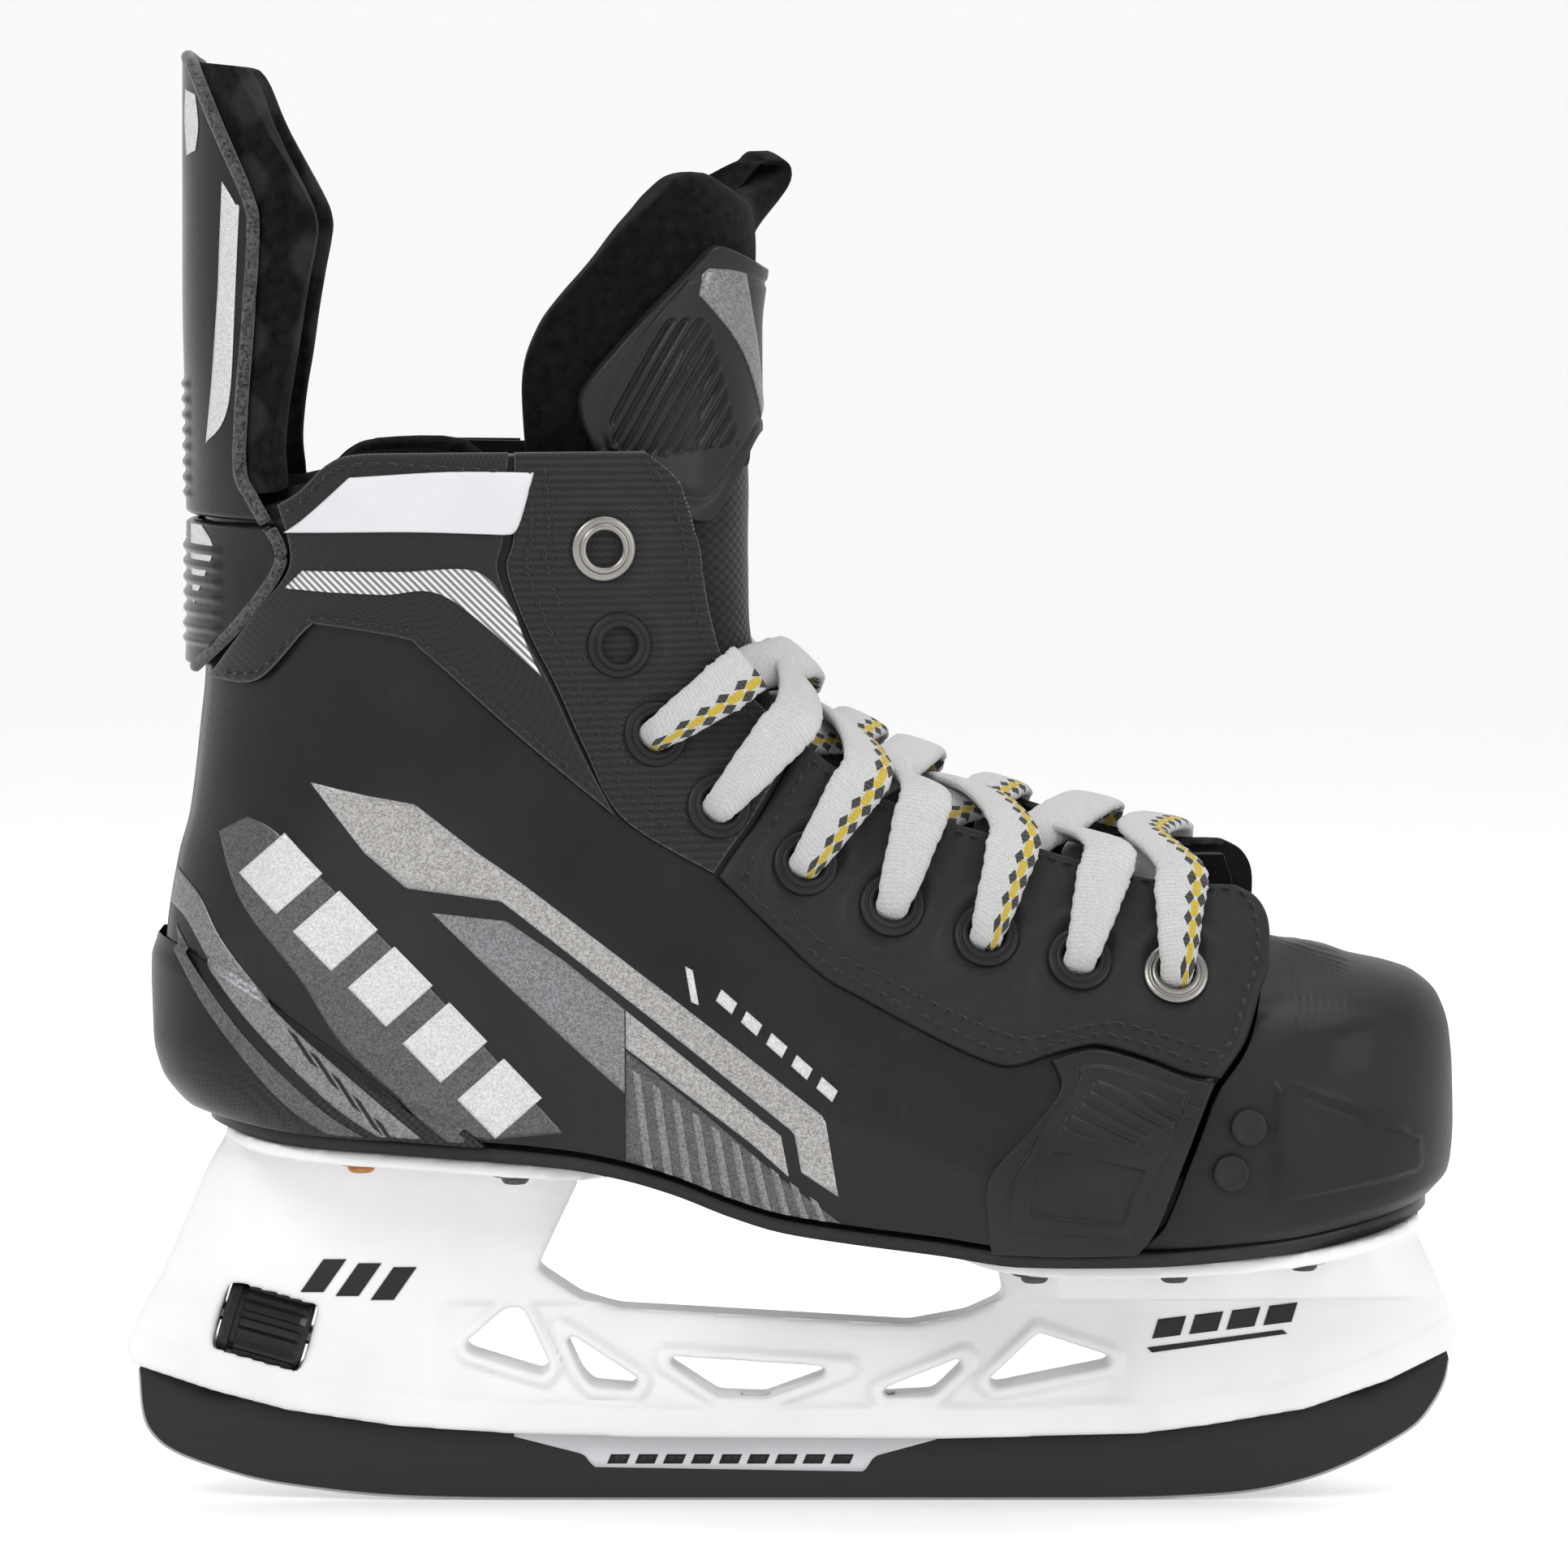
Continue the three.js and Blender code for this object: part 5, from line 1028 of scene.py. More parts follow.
# ---- Side straps ----
# A moulded panel on each side between the instep facing and the sole, with a ribbed corner,
# a raised frame and a sunken plate in it.
STRAP = {
    "bottom": edge([(39.1, 56.5), (53, 56.1), (66.9, 56.2)]),
    "top": edge([(50.4, 93.6), (56.6, 95.2), (61, 95.2), (69, 92.9), (77.1, 89.9), (82.4, 89)]),
    "back": edge([(39.1, 56.5), (38.2, 62), (37.7, 68.9), (39.4, 73.1), (47.7, 81.8), (52.1, 88.3), (50.4, 93.6)]),
    "front": edge([(66.9, 56.2), (71.2, 61.8), (77.6, 77.6), (82.4, 89)]),
}


def strap_relief(u, v, where):
    """A raised step round the middle, a sunken plate low down, and slanted ribs in the upper corner."""
    frame_line = np.maximum(np.abs(u - 0.5) / 0.36, np.abs(v - 0.52) / 0.4)
    step = 0.8 * (1 - ease((frame_line - 0.96) / 0.06))
    plate = np.maximum(np.abs(u - 0.52) / 0.27, np.abs(v - 0.34) / 0.15)
    sunk = -0.9 * (1 - ease((plate - 0.94) / 0.08))
    corner = (ease((v - 0.58) / 0.03) * ease((0.86 - v) / 0.03) * ease((u - 0.28) / 0.03)
              * ease((0.34 + 1.1 * (v - 0.55) - u + 0.3) / 0.03))
    return step + sunk + 0.75 * corner * (0.5 + 0.5 * np.sin((v * 34 + u * 6) * np.pi))


STRAP_BLACK = gloss_plastic("satin_black_strap", (0.0108, 0.0104, 0.011), (0.0175, 0.017, 0.0178), 0.38, 0.5,
                            skin=1500.0, skin_depth=0.08)
for side, label in ((-1, "outer"), (1, "inner")):
    strap = side_panel(f"strap_{label}", side, STRAP, LAYER_GAP, FACING_OUT, STRAP_BLACK, fine=(110, 150),
                       shape=strap_relief)
    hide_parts(f"side_strap_{label}")

# ---- Toe cap ----
# A thick satin black moulding over the toes, with a tapered ridge on each flank, a ribbed band over
# the top where the facings meet it, and two round plugs beside its seam.
TOE_SEAM = [
    (67.9, 53), (72.3, 61.6), (78.7, 77.5), (83.1, 88.3), (87.6, 94.3), (89.5, 98), (91.9, 105.4), (93.8, 110.4),
    (94, 116),
]
TOE_TIP, TOE_WALL, TOE_TOP = 132.2, 2.6, 59.4
TOE_SQUARED = 0.84  # the power that squares off the toe seen from above
seam_x = graph([(z, x) for x, z in TOE_SEAM])
toe_reach = graph([(0, 0.94), (5, 0.985), (15, 1), (26, 0.995), (34, 0.98), (41, 0.93), (46.5, 0.82), (50, 0.68),
                   (53.2, 0.48), (57, 0.24), (59.4, 0.04)])


def toe_point(turn, level):
    """A quarter dome: x and y are the reach at this level times the cosine and sine of the turn, squared off."""
    reach = toe_reach(level)
    back = seam_x(54 + level) + CLEAR
    x = back + reach * (TOE_TIP - back) * np.clip(np.cos(turn), 0, 1) ** TOE_SQUARED
    y = (BALL_WIDTH / 2 - 4.6) * reach * np.sign(turn) * np.abs(np.sin(turn)) ** TOE_SQUARED
    base = (OUTSOLE_WALL + CLEAR) * (1 - np.clip(level / 8, 0, 1))
    return np.stack([x, y + centre(x), sole_z(x) + level + base], -1)


def on_toe(turn, level, out, step=0.02, rise=0.4):
    ahead, behind = np.minimum(turn + step, np.pi / 2), np.maximum(turn - step, -np.pi / 2)
    across = toe_point(ahead, level) - toe_point(behind, level)
    up = toe_point(turn, np.minimum(level + rise, TOE_TOP)) - toe_point(turn, np.maximum(level - rise, 0))
    return lifted(toe_point(turn, level), across, up, np.broadcast_to(out, np.shape(turn)))


u, v = np.meshgrid((1 - np.cos(np.linspace(0, np.pi, 161))) / 2, np.linspace(0, 1, 90), indexing="ij")
turn, level = (2 * u - 1) * np.pi / 2, v * TOE_TOP
skin = toe_point(turn, level)
flank = ease((np.abs(turn) - 0.5) / 0.1)
wedge = np.clip((skin[..., 0] - 93) / 30, -0.1, 1.1)
under_top, over_low = mix(89.5, 77.1, wedge) - skin[..., 2], skin[..., 2] - mix(64.8, 69.5, wedge)
ridge = 1.7 * flank * ease(under_top / 1.1) * ease(over_low / 1.1) * ease((124 - skin[..., 0]) / 1.2)
crest = 1.1 * flank * np.exp(-((under_top / 1.0) ** 2)) * ease((122 - skin[..., 0]) / 3)
ridge = (ridge + crest) * ease((skin[..., 0] - 93.5) / 2)
band_share = ease((level - 42) / 1.5) * ease(58.5 - level) * ease((skin[..., 0] - 97) / 2)
band_ribs = 0.35 * band_share * (0.5 + 0.5 * np.cos(skin[..., 0] * np.pi / 0.8)) * ease((112 - skin[..., 0]) / 4)
TOE_BLACK = gloss_plastic("satin_black_toe", (0.0105, 0.0101, 0.0107), (0.0165, 0.016, 0.0168), 0.4, 0.52,
                          coat=0.06, skin=2400.0, skin_depth=0.1)
toe = slab("toe_cap_shell", on_toe(turn, level, ridge + band_ribs), on_toe(turn, level, -TOE_WALL), TOE_BLACK, "boot",
           np.stack([u * 130, v * 60], -1) * MM)
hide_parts("toe_cap")

PLUG_RUBBER = gloss_plastic("plug_rubber", (0.012, 0.012, 0.012), (0.02, 0.02, 0.02), 0.45, 0.6, coat=0.05,
                            skin=1800.0)
PLUG_PROFILE = [(0, -0.8), (3.6, -0.8), (3.6, 0.2), (3.3, 0.55), (2.6, 0.65), (2.2, 0.35), (0.9, 0.3), (0, 0.3)]


def node_box(name):
    """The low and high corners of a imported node's box, in millimetres."""
    return [np.array(corner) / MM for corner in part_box(name)]


for side, label in ((-1, "outer"), (1, "inner")):
    for i in (1, 2):
        place = np.mean(node_box(f"toe_plug_{label}_{i}"), axis=0)
        spots = np.linspace(0.9, np.pi / 2, 60) * side
        level_here = place[2] - sole_z(place[0])
        near = spots[np.argmin(np.linalg.norm(toe_point(spots, np.full(len(spots), level_here)) - place, axis=1))]
        axis = on_toe(near, level_here, 1.0) - on_toe(near, level_here, 0.0)
        plug = turned(f"toe_plug_{label}_cap_{i}", PLUG_PROFILE, place, axis, PLUG_RUBBER, "boot", 40)
        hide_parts(f"toe_plug_{label}_{i}")

# ---- Linings and footbed ----
# Padded felt lines the shell and the tendon guard, dark with a faint plaid printed in it. The pads
# are closed forms that crown between their sewn edges; a moulded footbed lies on the sole.
PAD_GAP, LINER_WALL, GUARD_PAD = 1.8, 4.5, 7
FOOTBED_WALL = 3.2


def felt(name, dark, light, depth=0.35, plaid=0.0):
    """Felt: matted fibres from two noises, one fine and one clumped, with an optional faint plaid over it."""
    material, tree, shader, spot = blank(name, Roughness=0.95, Sheen_Weight=0.06, Sheen_Roughness=0.4,
                                         Specular_IOR_Level=0.05)
    place = spot.outputs["Object"]
    both = math(tree, "MULTIPLY", noise(tree, place, 2600.0, 5.0, Roughness=0.7), noise(tree, place, 420.0, 4.0))
    colour = tinted(tree, remap(tree, both, from_min=0.12, from_max=0.42), dark, light)
    if plaid:
        split = node(tree, "ShaderNodeSeparateXYZ", {"Vector": place}).outputs
        lines = [math(tree, "SINE", math(tree, "MULTIPLY", split[axis], pitch))
                 for axis, pitch in (("X", 520.0), ("Z", 410.0))]
        part = remap(tree, math(tree, "ADD", *lines), from_min=0.2, from_max=1.0, to_max=plaid)
        colour = blended(tree, part, colour, (0.045, 0.045, 0.05, 1))
    feed(tree, shader, Base_Color=colour)
    bump(tree, shader, both, depth)
    return material


BLACK_FELT = felt("black_felt", (0.0012, 0.0012, 0.0013), (0.0085, 0.0085, 0.009), depth=0.5)
PLAID_FELT = felt("plaid_felt", (0.002, 0.002, 0.0022), (0.011, 0.011, 0.012), plaid=0.3)


def pad(name, edges, inner, outer, look, body, fine, crown=0.12):
    """A padded panel round the heel that is thickest in the middle and rolls to a thin sewn edge."""
    return heel_panel(name, edges, outer, outer, look, body, fine,
                      shape=lambda u, v, where: -(outer - inner) * (0.35 + 0.65 * rounded(u, v, crown)))


def modified_points(piece):
    """A mesh's points in metres as its modifiers leave them."""
    finished = piece.evaluated_get(bpy.context.evaluated_depsgraph_get())
    mesh = finished.to_mesh()
    points = np.empty(len(mesh.vertices) * 3)
    mesh.vertices.foreach_get("co", points)
    finished.to_mesh_clear()
    return points.reshape(-1, 3)


def puffed(piece, most, pressure=3.0, frames=14):
    """Blows a closed fabric piece up with Blender's cloth and keeps the result; no point moves further than `most`."""
    mesh = piece.data
    before = np.empty(len(mesh.vertices) * 3)
    mesh.vertices.foreach_get("co", before)
    cloth_run = piece.modifiers.new("cloth", "CLOTH")
    cloth_run.settings.use_pressure = True
    cloth_run.settings.uniform_pressure_force = pressure
    cloth_run.settings.effector_weights.gravity = 0
    cloth_run.settings.quality = 4
    cloth_run.point_cache.frame_end = frames
    for number in range(1, frames + 1):
        bpy.context.scene.frame_set(number)
    after = modified_points(piece).ravel()
    piece.modifiers.remove(cloth_run)
    bpy.context.scene.frame_set(1)
    move = (after - before).reshape(-1, 3)
    far = np.linalg.norm(move, axis=1, keepdims=True)
    move *= np.minimum(1, most * MM / np.maximum(far, 1e-9))
    mesh.vertices.foreach_set("co", before + move.ravel())
    mesh.update()


liner_x = np.linspace(-117, 66, 24)
liner = pad(
    "boot_lining",
    {"bottom": edge([(x, sole_z(x) + OUTSOLE_WALL + FOOTBED_WALL + 2.2) for x in liner_x]),
     "top": edge([(-116.8, 204.6), (-106, 204.8), (-99, 205), (-94, 206.6), (-90, 210), (-84, 212.4), (-66, 212.6),
                  (-60.5, 206), (-58.5, 192), (-54, 175), (-45, 154), (-32, 136), (-14, 121), (12, 101.5), (40, 89),
                  (60, 90), (72, 84)])},
    -SHELL_WALL - PAD_GAP - LINER_WALL, -SHELL_WALL - PAD_GAP, PLAID_FELT, "boot", (110, 50),
)
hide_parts("boot_liner")
guard_pad = pad(
    "guard_lining",
    {"bottom": edge([(-116.8, 203), (-108, 203.2), (-100, 204)]), "top": edge([(-117, 287.4), (-109.4, 286.6)]),
     "front": edge([(-100, 204), (-100.8, 212), (-99.8, 220.2), (-97.4, 231), (-95, 243.4), (-92.8, 252),
                    (-92.4, 256.5), (-94.6, 262), (-102.4, 274.6), (-106, 281), (-109.4, 286.6)])},
    -GUARD_PAD, 0.4, PLAID_FELT, None, (60, 70), crown=0.1,
)
puffed(guard_pad, most=0.8)
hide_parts("guard_liner")
for piece in (guard, rim_binding, guard_pad):
    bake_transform(piece)


def sole_half(x, back, tip):
    """Half the sole's width: the boot's own, rounded at the heel by a circle and at the toe by a power curve."""
    heel = np.sqrt(1 - (1 - np.clip((x - back) / (HEEL_WIDTH / 2 - 2), 0, 1)) ** 2)
    toe_end = (1 - np.clip((x - 68) / (tip - 68), 0, 1) ** 2.6) ** (1 / 2.1)
    return (half_width(x, sole_z(x) + 1) - 1.2) * heel * toe_end


def sole_plate(name, back, tip, less, low, high, look, cup=0.0):
    """A plate over the sole, narrower than it by `less`, its sides raised by `cup` from the heel to the arch."""
    u, v = grid(120, 40, 0.03)
    x = mix(back, tip, (1 - np.cos(np.pi * mix(0.02, 0.98, u))) / 2)
    y = (2 * v - 1) * np.maximum(sole_half(x, back, tip) - less, 1.5) + centre(x)
    top = high - 0.5 + 0.5 * rounded(u, v, 0.03) + cup * (2 * v - 1) ** 2 * ease((0.6 - u) / 0.2)
    sheets = [np.stack([x, y, sole_z(x) + height], -1) for height in (top, low)]
    return slab(name, *sheets, look, "boot", np.stack([x, y], -1) * MM)


FOOTBED_LOW = OUTSOLE_WALL + 0.9
footbed_cloth = cloth("footbed_cloth", (0.03, 0.03, 0.034), (0.075, 0.075, 0.082), 900.0, 0.15)
footbed = sole_plate("footbed_pad", -109, 121, SHELL_WALL + LINER_WALL - 1.6, FOOTBED_LOW, FOOTBED_LOW + FOOTBED_WALL,
                     footbed_cloth, cup=1.6)
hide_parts("footbed")

# ---- Outsole and rivets ----
# A thin rigid black sole board under the whole boot. Ten tubular rivets hold the two flanges of the
# holder to it: the rearmost pair copper, the rest dark steel.
SOLE_BLACK = gloss_plastic("sole_black", (0.011, 0.011, 0.0115), (0.019, 0.019, 0.02), 0.4, 0.55, coat=0.15,
                           skin=1300.0, skin_depth=0.1)
outsole = sole_plate("sole_board", -116, 127, 0, 0, OUTSOLE_WALL, SOLE_BLACK)
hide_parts("outsole")
COPPER = metal("copper", (0.4, 0.16, 0.06), (0.6, 0.27, 0.11), 0.28, 0.45)
DARK_STEEL = metal("dark_steel", (0.05, 0.05, 0.05), (0.11, 0.11, 0.11), 0.35, 0.5)
RIVET_SHANK = 2
RIVET_HEAD = [(RIVET_SHANK, -2.4), (4.6, -2.4), (4.6, -1.7), (4.3, -1.45), (2.9, -1.3), (2.6, -0.4), (2.1, 0.05),
              (1.2, -0.1), (0.8, -0.7), (0, -0.8)]
for row in ("rear_1", "rear_2", "front_1", "front_2", "front_3"):
    for label in ("outer", "inner"):
        low, high = node_box(f"rivet_{row}_{label}")
        place = np.array([(low[0] + high[0]) / 2, (low[1] + high[1]) / 2, low[2] + 0.5])
        copper = row == "rear_1"
        profile = [(0, low[2] - high[2]), (RIVET_SHANK, low[2] - high[2]), *RIVET_HEAD]
        head = turned(f"rivet_{row}_{label}_head", profile, place, [0, 0, -1], COPPER if copper else DARK_STEEL,
                      "boot", 36)
        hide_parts(f"rivet_{row}_{label}")

# ---- Tongue ----
# Thick black felt faced with a twill cloth up the instep. Above the collar it opens into two lobes
# and carries a stiff moulded plate with ribs, a stitched border and a grey badge each side.
TONGUE_FELT = 7
FELT_BEND, PLATE_BEND = (205, 219), (204, 216)  # the heights between which each piece would bend; the loop below reads them but bends nothing
tongue_path = edge([(86, 116), (68, 122.6), (48, 128.6), (24, 138), (3, 152), (-7, 169), (-8.6, 188), (-8.2, 211.2)])
tongue_half = graph([(0, THROAT_GAP / 2 - 6), (0.15, THROAT_GAP / 2 - 1.5), (0.72, THROAT_GAP / 2 - 1.5), (0.86, 23),
                     (1, 25.5)])
tongue_depth = graph([(0, 9), (0.2, 22), (0.6, 34), (0.8, 42), (1, 47)])


def tongue_point(turn, v):
    """The tongue's front: its side-view line, dropped square to itself by depth times (1 - cos turn)."""
    spot, run = tongue_path(v), tongue_path(v + 0.004) - tongue_path(v - 0.004)
    run = run / np.linalg.norm(run, axis=-1, keepdims=True)
    drop = tongue_depth(v) * (1 - np.cos(turn))
    y = tongue_half(v) * np.sin(turn) + centre(spot[..., 0])
    return np.stack([spot[..., 0] - run[..., 1] * drop, y, spot[..., 1] + run[..., 0] * drop], -1)


def on_tongue(turn, v, out, step=0.004):
    across = tongue_point(turn + step, v) - tongue_point(turn - step, v)
    up = tongue_point(turn, np.minimum(v + step, 1)) - tongue_point(turn, np.maximum(v - step, 0))
    return lifted(tongue_point(turn, v), across, up, out)


TWILL = cloth("black_twill", (0.006, 0.006, 0.0065), (0.022, 0.022, 0.023), 1000.0, 0.2, fuzz=0.35, roughness=0.95)
u, v = grid(60, 110, 0.03)
turn, soft = (2 * u - 1) * 1.45, rounded(u, v, 0.08)
ripple = 0.25 * np.sin(v * 46) * ease((0.8 - v) / 0.2)
lower_tongue = slab("tongue_instep", on_tongue(turn, v, -1.2 * (1 - soft) + ripple * soft),
                    on_tongue(turn, v, -TONGUE_FELT + 1.2 * (1 - soft)), TWILL, "boot",
                    np.stack([u * 60, v * 150], -1) * MM)
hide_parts("tongue_lower")

upper_front = graph([(212, -8.2), (235, -8.4), (250, -7), (270, -9)])
upper_half = graph([(212, 25.5), (240, 31), (270, 33)])
upper_depth = graph([(212, 47), (240, 48), (270, 44)])


def upper_tongue_point(turn, z):
    """The tongue above the collar: an arc from front to sides, its far lobe rolled 15 mm forward at the top."""
    roll = 15 * ease((z - 246) / 22) * ease((turn - 0.1) / 0.42)
    return np.stack([upper_front(z) - upper_depth(z) * (1 - np.cos(turn)) + roll, upper_half(z) * np.sin(turn), z], -1)


def on_upper_tongue(turn, z, out, step=0.01):
    across = upper_tongue_point(turn + step, z) - upper_tongue_point(turn - step, z)
    up = upper_tongue_point(turn, z + step) - upper_tongue_point(turn, z - step)
    return lifted(upper_tongue_point(turn, z), across, up, np.broadcast_to(out, np.shape(turn)))


WING = [(1.5, 206), (1.5, 224), (1.42, 235), (1.26, 246), (1.1, 255), (0.9, 262)]
lobe_top = edge([(-0.9, 262), (-0.78, 265.2), (-0.6, 266), (-0.38, 263.6), (-0.14, 261.2), (0.1, 260.8), (0.34, 263.4),
                 (0.55, 268.6), (0.74, 269.6), (0.9, 262)])
felt_area = patch(edge([(-1.5, 206), (0, 206), (1.5, 206)]), lobe_top, edge([(-a, z) for a, z in WING]), edge(WING))
u, v = grid(90, 60, 0.02)
turn, z = np.moveaxis(felt_area(u, v), -1, 0)
soft = rounded(u, v, 0.07)
upper_tongue = slab("tongue_lobes", on_upper_tongue(turn, z, -2.4 * (1 - soft)),
                    on_upper_tongue(turn, z, -TONGUE_FELT - 1 + 2.6 * (1 - soft)), BLACK_FELT, None,
                    np.stack([u * 90, v * 60], -1) * MM)
puffed(upper_tongue, most=1.2)
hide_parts("tongue_upper")

plate_side = [(1.22, 212), (1.27, 219), (1.24, 225), (1.0, 237), (0.74, 248.5)]
plate_foot = [(-1.22, 212), (-1.0, 204), (-0.68, 197), (-0.46, 204.5), (-0.24, 212.5), (0, 214.5)]
plate_head = [(-0.74, 248.5), (-0.62, 251.6), (-0.42, 249.8), (-0.2, 247.6), (0, 247)]
foot_line, head_line = (line + [(-a, z) for a, z in line[-2::-1]] for line in (plate_foot, plate_head))
plate_area = patch(edge(foot_line), edge(head_line), edge([(-a, z) for a, z in plate_side]), edge(plate_side))
u, v = grid(220, 150, 0.012)
turn, z = np.moveaxis(plate_area(u, v), -1, 0)
border = np.minimum(np.minimum(u, 1 - u) / 0.05, np.minimum(v, 1 - v) / 0.09)
groove = -0.5 * np.exp(-(((border - 1) / 0.22) ** 2))
side_x = 48 * (1 - np.cos(turn))
in_ribs = (ease((border - 1.4) / 0.3) * ease((np.abs(turn) - 0.42 - (z - 214) * 0.009) / 0.03)
           * ease(z - 209 - (1.2 - np.abs(turn)) * 4) * ease(238 - z))
rib_waves = 0.65 * in_ribs * np.sin((side_x * 0.86 + z * 0.5) * 2 * np.pi / 2.3)
height = 0.6 + 2.1 * rounded(u, v, 0.012) + (groove + rib_waves - 0.5 * in_ribs) * rounded(u, v, 0.03)
plate = slab("tongue_shield", on_upper_tongue(turn, z, height), on_upper_tongue(turn, z, 0.5),
             STRAP_BLACK, None, np.stack([turn * 30, z], -1) * MM)
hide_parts("tongue_plate")
for piece, (low, high) in ((plate, PLATE_BEND), (upper_tongue, FELT_BEND)):
    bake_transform(piece)
badge_foot, badge_head = [(0.13, 217), (0.4, 231), (0.73, 242.5)], [(0.09, 218), (0.2, 233), (0.4, 246.4)]
badge_area = patch(edge(badge_foot), edge(badge_head), None, edge([badge_foot[-1], (0.68, 247.4), badge_head[-1]]))
u, v = grid(40, 12, 0.05)
for sign, label in ((-1, "outer"), (1, "inner")):
    where = badge_area(u, v) * [sign, 1]
    turn, z = np.moveaxis(where, -1, 0)
    made = slab(f"tongue_badge_{label}", on_upper_tongue(turn, z, 2.3 + 0.8 * rounded(u, v, 0.06)),
                on_upper_tongue(turn, z, 2.2), PRINT_MID, "tongue_top", where * MM)

# ---- Runner holder ----
# A white nylon moulding: two hollow towers on flanges, joined by a bridge over a truss of five
# windows, with the runner's slot along its foot. Dark marks are printed on its towers.
HOLDER_FOOT = [(-130.8, 28), (-116, 23), (-100.6, 18.9), (-78.9, 15.7), (-55.8, 14.2), (-30, 13.4), (29.4, 13.1),
               (69.9, 14.2), (83.9, 16), (102.8, 19.2), (119.3, 25), (131.6, 31.2)]
RAIL = 6.4  # height of the plain rail along the foot, under the truss
WINDOWS = [
    [(-57.2, 39.5), (-53.7, 39.8), (-48.2, 28), (-49.6, 26), (-64.5, 30.6), (-65.5, 32.3)],
    [(-46.1, 35.6), (-30.2, 25.1), (-31.5, 23.1), (-39.9, 23.9), (-42, 26.5)],
    [(-25.2, 29.9), (11.2, 27.5), (-4.9, 21.5), (-14.4, 21.7), (-24.9, 28.6)],
    [(34.6, 29.9), (35.6, 29.1), (28.5, 22), (18.4, 21.5), (17.8, 23.1)],
    [(49.3, 34.6), (64, 29.8), (63.7, 28), (40.6, 23.3), (39, 24.7)],
]
foot_z = graph(HOLDER_FOOT)
WHITE_NYLON = gloss_plastic("white_nylon", (0.66, 0.66, 0.66), (0.72, 0.72, 0.72), 0.34, 0.46, coat=0.08,
                            skin=700.0, skin_depth=0.04)
holder_mesh = frame["nodes"]["blade_holder"].data.copy()
holder = bpy.data.objects.new("holder_moulding", holder_mesh)
bpy.context.scene.collection.objects.link(holder)
tidy = bmesh.new()
tidy.from_mesh(holder_mesh)
bmesh.ops.remove_doubles(tidy, verts=tidy.verts, dist=1e-6)
tidy.to_mesh(holder_mesh)
tidy.free()
even = holder.modifiers.new("even", "REMESH")
even.mode = "VOXEL"
even.voxel_size = 0.8 * MM
soften = holder.modifiers.new("soft_edges", "SMOOTH")
soften.iterations = 5
holder.data = bpy.data.meshes.new_from_object(holder.evaluated_get(bpy.context.evaluated_depsgraph_get()))
holder.modifiers.clear()
points = np.empty(len(holder.data.vertices) * 3)
holder.data.vertices.foreach_get("co", points)
points = points.reshape(-1, 3) / MM
x, y, z = points.T


def outline_gap(x, z, outline):
    """Distance in side view from points to a closed outline, the least over its sides."""
    nearest = np.full(x.shape, np.inf)
    for (ax, az), (bx, bz) in zip(outline, outline[1:] + outline[:1]):
        t = np.clip(((x - ax) * (bx - ax) + (z - az) * (bz - az)) / ((bx - ax) ** 2 + (bz - az) ** 2), 0, 1)
        nearest = np.minimum(nearest, np.hypot(x - ax - t * (bx - ax), z - az - t * (bz - az)))
    return nearest


window_gap = np.min([outline_gap(x, z, outline) for outline in WINDOWS], axis=0)
over_rail = z - foot_z(x) - RAIL
truss = ease((x + 72) / 8) * ease((70 - x) / 8) * ease(over_rail / 1.2) * ease((41.5 - z) / 1.5)
face = ease((np.abs(y) - 4) / 1.4)
sink = 1.5 * truss * ease((window_gap - 1.5) / 1.2) * face
groove = 0.5 * face * ease(over_rail) * ease((1.6 - over_rail) / 1.2)
points[:, 1] -= np.sign(y) * (sink + groove)
holder.data.vertices.foreach_set("co", points.ravel() * MM)
holder.data.materials.clear()
holder.data.materials.append(WHITE_NYLON)
holder.data.polygons.foreach_set("use_smooth", [True] * len(holder.data.polygons))
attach(holder, "boot")
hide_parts("blade_holder")
MARK_BLACK = gloss_plastic("printed_black", (0.012, 0.012, 0.012), (0.02, 0.02, 0.02), 0.35, 0.5, coat=0.1)


def printed_on(name, field, side, high, low, look, body):
    """A printed film over a field of points on one side, between two heights off it."""
    sheets = [field + [0, side * height, 0] for height in (high, low)]
    made = slab(name, *sheets, look, body, field[..., ::2] * MM)


def thrown(name, side, corners):
    """A black mark between four side-view corners, thrown square on the holder from one side by a shrinkwrap."""
    a, b, c, d = np.array(corners, float)
    u, v = np.meshgrid(np.linspace(0, 1, 24), np.linspace(0, 1, 10), indexing="ij")
    flat = mix(mix(a, b, u[..., None]), mix(d, c, u[..., None]), v[..., None])
    start = np.stack([flat[..., 0], np.full(u.shape, side * 60.0), flat[..., 1]], -1)
    card_mesh = bpy.data.meshes.new(name + "_card")
    card_mesh.from_pydata(start.reshape(-1, 3) * MM, [], cells(*u.shape).tolist())
    card = bpy.data.objects.new(name + "_card", card_mesh)
    bpy.context.scene.collection.objects.link(card)
    throw = card.modifiers.new("throw", "SHRINKWRAP")
    throw.wrap_method = "PROJECT"
    throw.use_project_y = True
    throw.use_positive_direction = side < 0
    throw.use_negative_direction = side > 0
    throw.target = holder
    found = modified_points(card).reshape(start.shape) / MM
    bpy.data.objects.remove(card)
    missed = np.abs(found[..., 1]) > 40  # past the holder: these take the height of the rest
    found[..., 1] = np.where(missed, np.median(found[..., 1][~missed]), found[..., 1])
    printed_on(name, found, side, 0.22, 0.06, MARK_BLACK, "boot")


